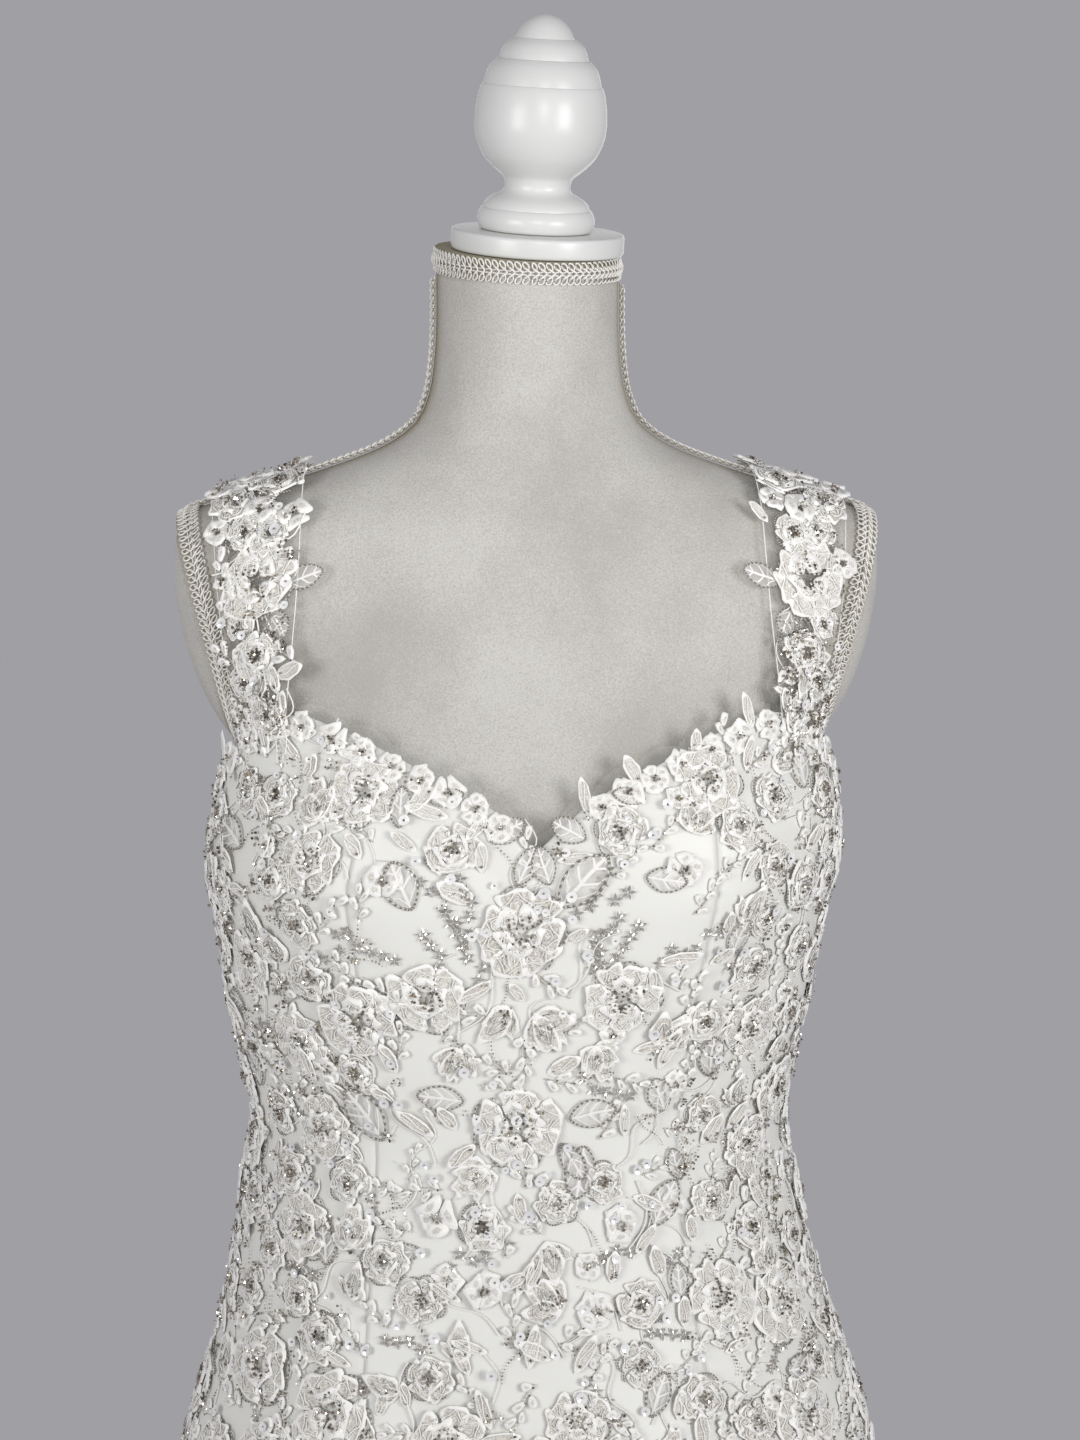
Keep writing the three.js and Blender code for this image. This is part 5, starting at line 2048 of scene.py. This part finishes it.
@dataclass
class Gimp:
    """A flat braid: a row of cord loops on each side of a herringbone."""

    low: Array
    high: Array
    normals: Array
    loop_pitch: float = 4.1
    cord: float = 0.52
    curl: float = 0.4
    segments_per_loop: int = 12

    def build(self, node: str, material: Material) -> None:
        """Winds the braid along its two edges.

        Args:
            node: The node that it stands for.
            material: Its finish.
        """
        middle = (self.low + self.high) / 2
        lengths = np.concatenate([[0], np.cumsum(np.linalg.norm(np.diff(middle, axis=0), axis=1))])
        loops = round(lengths[-1] / self.loop_pitch)

        def read(line: Array, along: Array) -> Array:
            """Reads a line after a number of loops."""
            at = np.clip(along / loops, 0, 1) * lengths[-1]
            return np.stack([np.interp(at, lengths, line[:, axis]) for axis in range(3)], axis=-1)

        def on_braid(along: Array, across: Array | float, out: Array | float) -> Array:
            """Places on the braid: loops along it, share across it and millimetres off it."""
            low, high = read(self.low, along), read(self.high, along)
            lift = read(self.normals, along) * np.broadcast_to(out, along.shape)[:, None]
            return low + (high - low) * np.broadcast_to(across, along.shape)[:, None] + lift

        trimming = Trimming()
        bm = stamp_mesh()
        segments = loops * self.segments_per_loop
        for sign in (-1, 1):

            def path(share: Array) -> tuple[Array, Array, Array]:
                """Gives the looped cord's middle: out to the edge in an eyelet and back to the middle."""
                turn = share * loops * math.tau
                reach = (1 - np.cos(turn)) / 2
                along = share * loops + 0.6 * np.sin(turn) - 0.5 * reach
                out = 0.6 + self.curl * reach + 0.45 * np.sin(turn + 0.5)
                return tuple(on_braid(along, 0.5 + sign * (0.06 + 0.44 * reach), out).T)

            tube(bm, path, self.cord, segments, 4, (0.31, 0.22, 0.93), 0.2 / segments)
        trimming.add_one(Stamp.from_mesh(bm))
        bm = stamp_mesh()
        bmesh.ops.create_uvsphere(bm, u_segments=6, v_segments=5, radius=1)
        stitch = Stamp.from_mesh(bm)
        x, y, z = (stitch.points[:, axis][None, :, None] for axis in range(3))
        place = np.arange(loops) + 0.5
        for sign in (-1, 1):
            start = on_braid(place - 0.45, 0.5 + 0.25 * sign, 1.2)
            end = on_braid(place + 0.35, 0.5 + 0.01 * sign, 2.3)
            forward = (end - start) * 0.6
            out = read(self.normals, place) * 0.7
            side = unit(np.cross(forward, out)) * 0.6
            placed = (start + end)[:, None] / 2 + x * side[:, None] + y * out[:, None] + z * forward[:, None]
            trimming.add(stitch, placed, np.zeros(len(place)))
        trimming.piece(f"{node}_gimp", material, True, "gimp_braid", (node,))


@dataclass
class DressForm:
    """The form under the dress: jersey torso, arm plates, gimp braids, painted cap and finial."""

    form: FormBody
    jersey: Material
    gimp: Material
    paint: Material
    columns: int = 96
    rows: int = 110
    braid_width: float = 12.5
    braid_gap: float = 0.7
    shoulder_forward: float = 2.5
    cap_radius: float = 47.0
    cap_thick: float = 11.0
    cap_edge: float = 2.0
    cap_aside: float = 5.0
    finial_aside: float = 3.5
    plate_half_wide: float = 38.0
    plate_half_tall: float = 58.0
    plate_thick: float = 3.0
    plate_dome: float = 11.0

    def row_heights(self) -> Array:
        """Heights of the torso's rows, evenly spaced along its side.

        Returns:
            The heights, from the bottom up.
        """
        fine = np.linspace(FORM_BOTTOM_Z, NECK_TOP_Z, 900)
        half = self.form.sections.read(fine)[:, 0]
        run = np.concatenate([[0], np.cumsum(np.hypot(np.diff(fine), np.diff(half)))])
        return np.interp(np.linspace(0, run[-1], self.rows + 1), run, fine)

    def torso(self) -> None:
        """Covers the torso, cut flat at both armholes."""
        heights = self.row_heights()
        bm = bmesh.new()
        age = bm.verts.layers.float.new("age")

        def place(u: Array, v: Array) -> Array:
            """Gives the torso's points."""
            z = np.interp(v, np.linspace(0, 1, self.rows + 1), heights)
            return self.form.ring(u * math.tau, z, 0)

        shaped_grid(bm, self.columns, self.rows, place)
        bmesh.ops.remove_doubles(bm, verts=bm.verts, dist=0.01)
        for side in (-1, 1):
            facing = (side * math.cos(ARMHOLE_LEAN), 0, -math.sin(ARMHOLE_LEAN))
            middle = (side * armhole_x(ARMHOLE_CENTRE_Z), 0, ARMHOLE_CENTRE_Z)
            plane = {"plane_co": middle, "plane_no": facing}
            geometry = [*bm.verts, *bm.edges, *bm.faces]
            bmesh.ops.bisect_plane(bm, geom=geometry, dist=0.01, clear_outer=True, **plane)
        bmesh.ops.holes_fill(bm, edges=[edge for edge in bm.edges if edge.is_boundary])
        bmesh.ops.recalc_face_normals(bm, faces=bm.faces)
        # Each point's yellowing and painted shade: strongest along the shoulder, round the armholes and at
        # the top of the neck, under the braids.
        for vert in bm.verts:
            x, y, z = vert.co
            shoulder = 1.5 * bell(y + 5, 10) * smooth_step(1384, 1400, z)
            rim = bell(armhole_x(z) - abs(x), 12) * smooth_step(1250, 1300, z)
            ring = 1.3 * smooth_step(NECK_TOP_Z - 15, NECK_TOP_Z - 11, z)
            vert[age] = min(1.5, shoulder + rim + ring)
        make_piece("form_torso_jersey", bm, self.jersey, "form_jersey", ("form_torso",), 50)

    def arm_plate(self, name: str, side: int) -> None:
        """Domed jersey plate that closes an armhole.

        Args:
            name: The node that it stands for.
            side: 1 for the wearer's left, -1 for the right.
        """
        bm = bmesh.new()
        bm.verts.layers.float.new("age")
        high = self.plate_thick + self.plate_dome
        outline = [(0, 0), (0.97, 0), (1, 0.4), (1, self.plate_thick), (0.6, high, 0, high, 12)]
        verts = spun(bm, outline, 48)
        bmesh.ops.scale(bm, vec=(self.plate_half_tall, self.plate_half_wide, 1), verts=verts)
        facing = Vector((side * math.cos(ARMHOLE_LEAN), 0, -math.sin(ARMHOLE_LEAN)))
        upright = Vector((side * math.sin(ARMHOLE_LEAN), 0, math.cos(ARMHOLE_LEAN)))
        matrix = Matrix((upright, facing.cross(upright), facing)).transposed()
        bmesh.ops.rotate(bm, cent=(0, 0, 0), matrix=matrix, verts=verts)
        middle = (side * (armhole_x(ARMHOLE_CENTRE_Z) + SEAM_GAP), 0, ARMHOLE_CENTRE_Z)
        bmesh.ops.translate(bm, vec=middle, verts=verts)
        make_piece(f"{name}_jersey", bm, self.jersey, "form_jersey", (name,), 40)

    def neck_braid(self) -> None:
        """Braid round the top of the neck."""
        angle = np.linspace(0, math.tau, 97)
        top = 0 * angle + NECK_TOP_Z - 0.5
        low, high = (self.form.ring(angle, z, SEAM_GAP) for z in (top - self.braid_width, top))
        normals = np.stack([np.sin(angle), -np.cos(angle), 0 * angle], axis=-1)
        Gimp(low, high, normals).build("form_neck_braid", self.gimp)

    def lifted(self, points: Array) -> tuple[Array, Array]:
        """Points a little off the form, and the directions out of it."""
        normals = self.form.normal(points)
        return points + normals * self.braid_gap, normals

    def shoulder_braid(self, name: str, side: int) -> None:
        """Braid down the side of the neck and along the shoulder.

        Args:
            name: The node that it stands for.
            side: 1 for the wearer's left, -1 for the right.
        """
        steps = np.linspace(0, self.rows, 6 * self.rows)
        heights = np.interp(steps, np.arange(self.rows + 1), self.row_heights())
        heights = heights[(heights > 1390) & (heights < NECK_TOP_Z - self.braid_width - 3)]
        half = self.form.sections.read(heights)[:, 0]
        edges = []
        for share in (0.5, -0.5):
            y = 0 * heights + self.braid_width * share * side - self.shoulder_forward
            edges.append(self.form.settled(np.stack([side * half, y, heights], axis=-1)))
        (low, normals), (high, _) = self.lifted(edges[0]), self.lifted(edges[1])
        low, high = self.form.neck_tilted(low), self.form.neck_tilted(high)
        Gimp(low, high, normals, curl=2.4).build(name, self.gimp)

    def armhole_braid(self, name: str, side: int) -> None:
        """Braid round the rim of an armhole.

        Args:
            name: The node that it stands for.
            side: 1 for the wearer's left, -1 for the right.
        """
        lean, upright = math.sin(ARMHOLE_LEAN), math.cos(ARMHOLE_LEAN)
        facing = np.array([upright, 0, -lean])
        turn = side * np.linspace(0, math.tau, 121)
        radial = np.stack([lean * np.sin(turn), -np.cos(turn), upright * np.sin(turn)], axis=-1)
        centre = np.array([armhole_x(ARMHOLE_CENTRE_Z), 0, ARMHOLE_CENTRE_Z]) + 0 * radial
        rim = centre + radial * self.form.ray_out(centre, radial)[:, None]
        normal = self.form.normal(rim)
        away = radial * 0.6 - facing * 0.8
        away = unit(away - normal * np.sum(away * normal, axis=-1, keepdims=True))
        low, normals = self.lifted(self.form.settled(rim + away * 1.5))
        high, _ = self.lifted(self.form.settled(rim + away * (1.5 + self.braid_width)))
        mirror = np.array([side, 1, 1])
        Gimp(low * mirror, high * mirror, normals * mirror).build(name, self.gimp)

    def on_neck(self, name: str, outline: Outline, sides: int, height: float, aside: float) -> None:
        """Turns a painted piece and stands it on the leaning top of the neck.

        Args:
            name: The node that it stands for.
            outline: Its profile.
            sides: Faces round it.
            height: Height above the neck's top.
            aside: Way off the neck's middle.
        """
        bm = bmesh.new()
        spun(bm, outline, sides)
        up = Vector((NECK_TILT_SIDE, -NECK_TILT_FORWARD, 1)).normalized()
        across = Vector((up.z, 0, -up.x)).normalized()
        matrix = Vector((0, 0, 1)).rotation_difference(up).to_matrix()
        place = Vector((0, NECK_CENTRE_Y, NECK_TOP_Z)) + up * height + across * aside
        bmesh.ops.rotate(bm, cent=(0, 0, 0), matrix=matrix, verts=bm.verts)
        bmesh.ops.translate(bm, vec=place, verts=bm.verts)
        make_piece(f"{name}_painted", bm, self.paint, "painted_wood", (name,), 35)

    def build(self) -> None:
        """Makes the whole form."""
        self.torso()
        self.neck_braid()
        radius, thick, soft = self.cap_radius, self.cap_thick, self.cap_edge
        cap = [(0, 0), (radius - soft, 0), (radius, 0, radius, soft, 4)]
        cap += [(radius, thick - soft), (radius, thick, radius - soft, thick, 4), (0, thick)]
        self.on_neck("form_neck_cap", cap, 80, SEAM_GAP, self.cap_aside)
        self.on_neck("form_finial", FINIAL, 72, thick + 2 * SEAM_GAP, self.finial_aside)
        for label, side in (("left", 1), ("right", -1)):
            self.arm_plate(f"form_arm_plate_{label}", side)
            self.shoulder_braid(f"form_shoulder_braid_{label}", side)
            self.armhole_braid(f"form_armhole_braid_{label}", side)


@dataclass
class Stand:
    """Painted steel stand under the skirt: flange, pole and round foot."""

    steel: Material
    pole_radius: float = 16.0
    base_radius: float = 200.0
    base_top: float = 60.0
    flange_height: float = 14.0

    def build(self) -> None:
        """Makes the three turned pieces."""
        low, high = FORM_BOTTOM_Z - self.flange_height, FORM_BOTTOM_Z - SEAM_GAP
        flange = [(0, low), (29, low), (30, low + 0.4), (59.4, low + 8), (60, low + 8.8)]
        flange += [(60, high), (0, high)]
        pole_low, pole_high = self.base_top + SEAM_GAP, low - SEAM_GAP
        pole = [(0, pole_low), (self.pole_radius, pole_low), (self.pole_radius, pole_high), (0, pole_high)]
        edge = self.base_radius
        base = [(0, 0), (edge - 3, 0), (edge, 3), (edge, 14), (edge, 20, edge - 8, 20, 5)]
        base += [(90, 24), (40, 26, 34, 48, 8), (30, self.base_top), (0, self.base_top)]
        for name, outline in (("stand_flange", flange), ("stand_pole", pole), ("stand_base", base)):
            bm = bmesh.new()
            spun(bm, outline, 64)
            make_piece(f"{name}_painted", bm, self.steel, "painted_steel", (name,), 30)


@dataclass
class Studio:
    """Camera, two square soft boxes, a soft spot, a back light, a plain pale floor and a grey surround."""

    focal_pixels: float = 2500.0
    picture_height: float = 1440.0
    sensor: float = 36.0
    distance: float = 1.400
    target: tuple[float, float, float] = (0.007, 0.0, 1.272)
    look_down: float = math.radians(8)
    from_right: float = math.radians(3)
    grey: str = "#a09fa4"
    floor: str = "#c9c8ca"

    def place(self, name: str, data: bpy.types.ID, at: Vector, aim: Vector) -> Piece:
        """Puts a camera or a light in the scene.

        Args:
            name: Its name.
            data: The camera or light.
            at: Where it stands.
            aim: The way that it faces.

        Returns:
            Its object.
        """
        thing = bpy.data.objects.new(name, data)
        thing.location = at
        thing.rotation_euler = aim.to_track_quat("-Z", "Y").to_euler()
        bpy.context.scene.collection.objects.link(thing)
        return thing

    def camera(self) -> None:
        """Places the camera at the photograph's viewing angle."""
        data = bpy.data.cameras.new("camera")
        data.sensor_width = self.sensor
        data.lens = self.sensor * self.focal_pixels / self.picture_height
        level, down = math.cos(self.look_down), math.sin(self.look_down)
        forward = Vector((math.sin(self.from_right) * level, math.cos(self.from_right) * level, -down))
        at = Vector(self.target) - forward * self.distance
        bpy.context.scene.camera = self.place("camera", data, at, forward)

    def light(
        self, name: str, kind: str, at: tuple[float, float, float], aim_z: float, **settings: float
    ) -> None:
        """Hangs one light that faces the dress's axis.

        Args:
            name: The light's name.
            kind: Its kind, square or spot.
            at: Where it hangs.
            aim_z: The height that it faces.
            **settings: Its power in watts, and its sizes.
        """
        data = bpy.data.lights.new(name, kind)
        for setting, value in settings.items():
            setattr(data, setting, value)
        self.place(name, data, Vector(at), Vector((0, 0, aim_z)) - Vector(at))

    def build(self) -> None:
        """Sets up the studio."""
        self.camera()
        self.light("soft_box_left", "AREA", (-1.35, -1.5, 1.45), 1.2, energy=12.8, size=0.75)
        self.light("soft_box_right", "AREA", (1.25, -1.6, 1.45), 1.2, energy=18.8, size=0.75)
        self.light("back_light", "AREA", (0.3, 2.6, 1.5), 1.2, energy=9, size=1.6)
        beam = {"spot_size": math.radians(30), "spot_blend": 1.0, "shadow_soft_size": 0.2}
        self.light("front_spot", "SPOT", (0.06, -1.45, 1.62), 1.45, energy=18, **beam)
        bpy.context.scene.view_settings.view_transform = "Standard"
        world = bpy.data.worlds.new("studio_grey")
        world.use_nodes = True
        background = world.node_tree.nodes["Background"]
        background.inputs["Color"].default_value = linear(self.grey)
        background.inputs["Strength"].default_value = 1.0
        bpy.context.scene.world = world
        bm = bmesh.new()
        bmesh.ops.create_circle(bm, cap_ends=True, segments=96, radius=1.2)
        mesh = bpy.data.meshes.new("studio_floor")
        bm.to_mesh(mesh)
        bm.free()
        mesh.materials.append(GlossPaint("studio_floor_matt", self.floor, self.floor, 0.7).make())
        floor = bpy.data.objects.new("studio_floor", mesh)
        floor.location.z = -0.0005
        bpy.context.scene.collection.objects.link(floor)


def main() -> None:
    """Builds the studio, the form, the dress and its lace."""
    logging.basicConfig(level=logging.INFO, format="%(name)s: %(message)s")
    Studio().build()
    dress, form = DressBody(), FormBody()
    straps = {side: StrapChart(dress, form, side) for side in (1, -1)}
    paint = GlossPaint("enamel_on_wood_sprayed", "#e0e1de", "#d7d8d4", 0.34).make()
    steel = GlossPaint("enamel_on_steel_sprayed", "#e9e9e7", "#dcdcda", 0.3).make()
    DressForm(form, BrushedJersey().make(), GimpCord().make(), paint).build()
    Stand(steel).build()
    Gown(dress, BridalSatin().make(), BridalNet().make()).build(straps)
    finishes = {
        Layer.THREAD: CordedLace().make(),
        Layer.LEAF: LeafNet().make(),
        Layer.CORD: BeadedCord().make(),
        Layer.BEAD: GlassBeads().make(),
        Layer.SEQUIN: PearlSequins().make(),
    }
    Appliques(dress, finishes).build(straps)


if __name__ == "__main__":
    main()
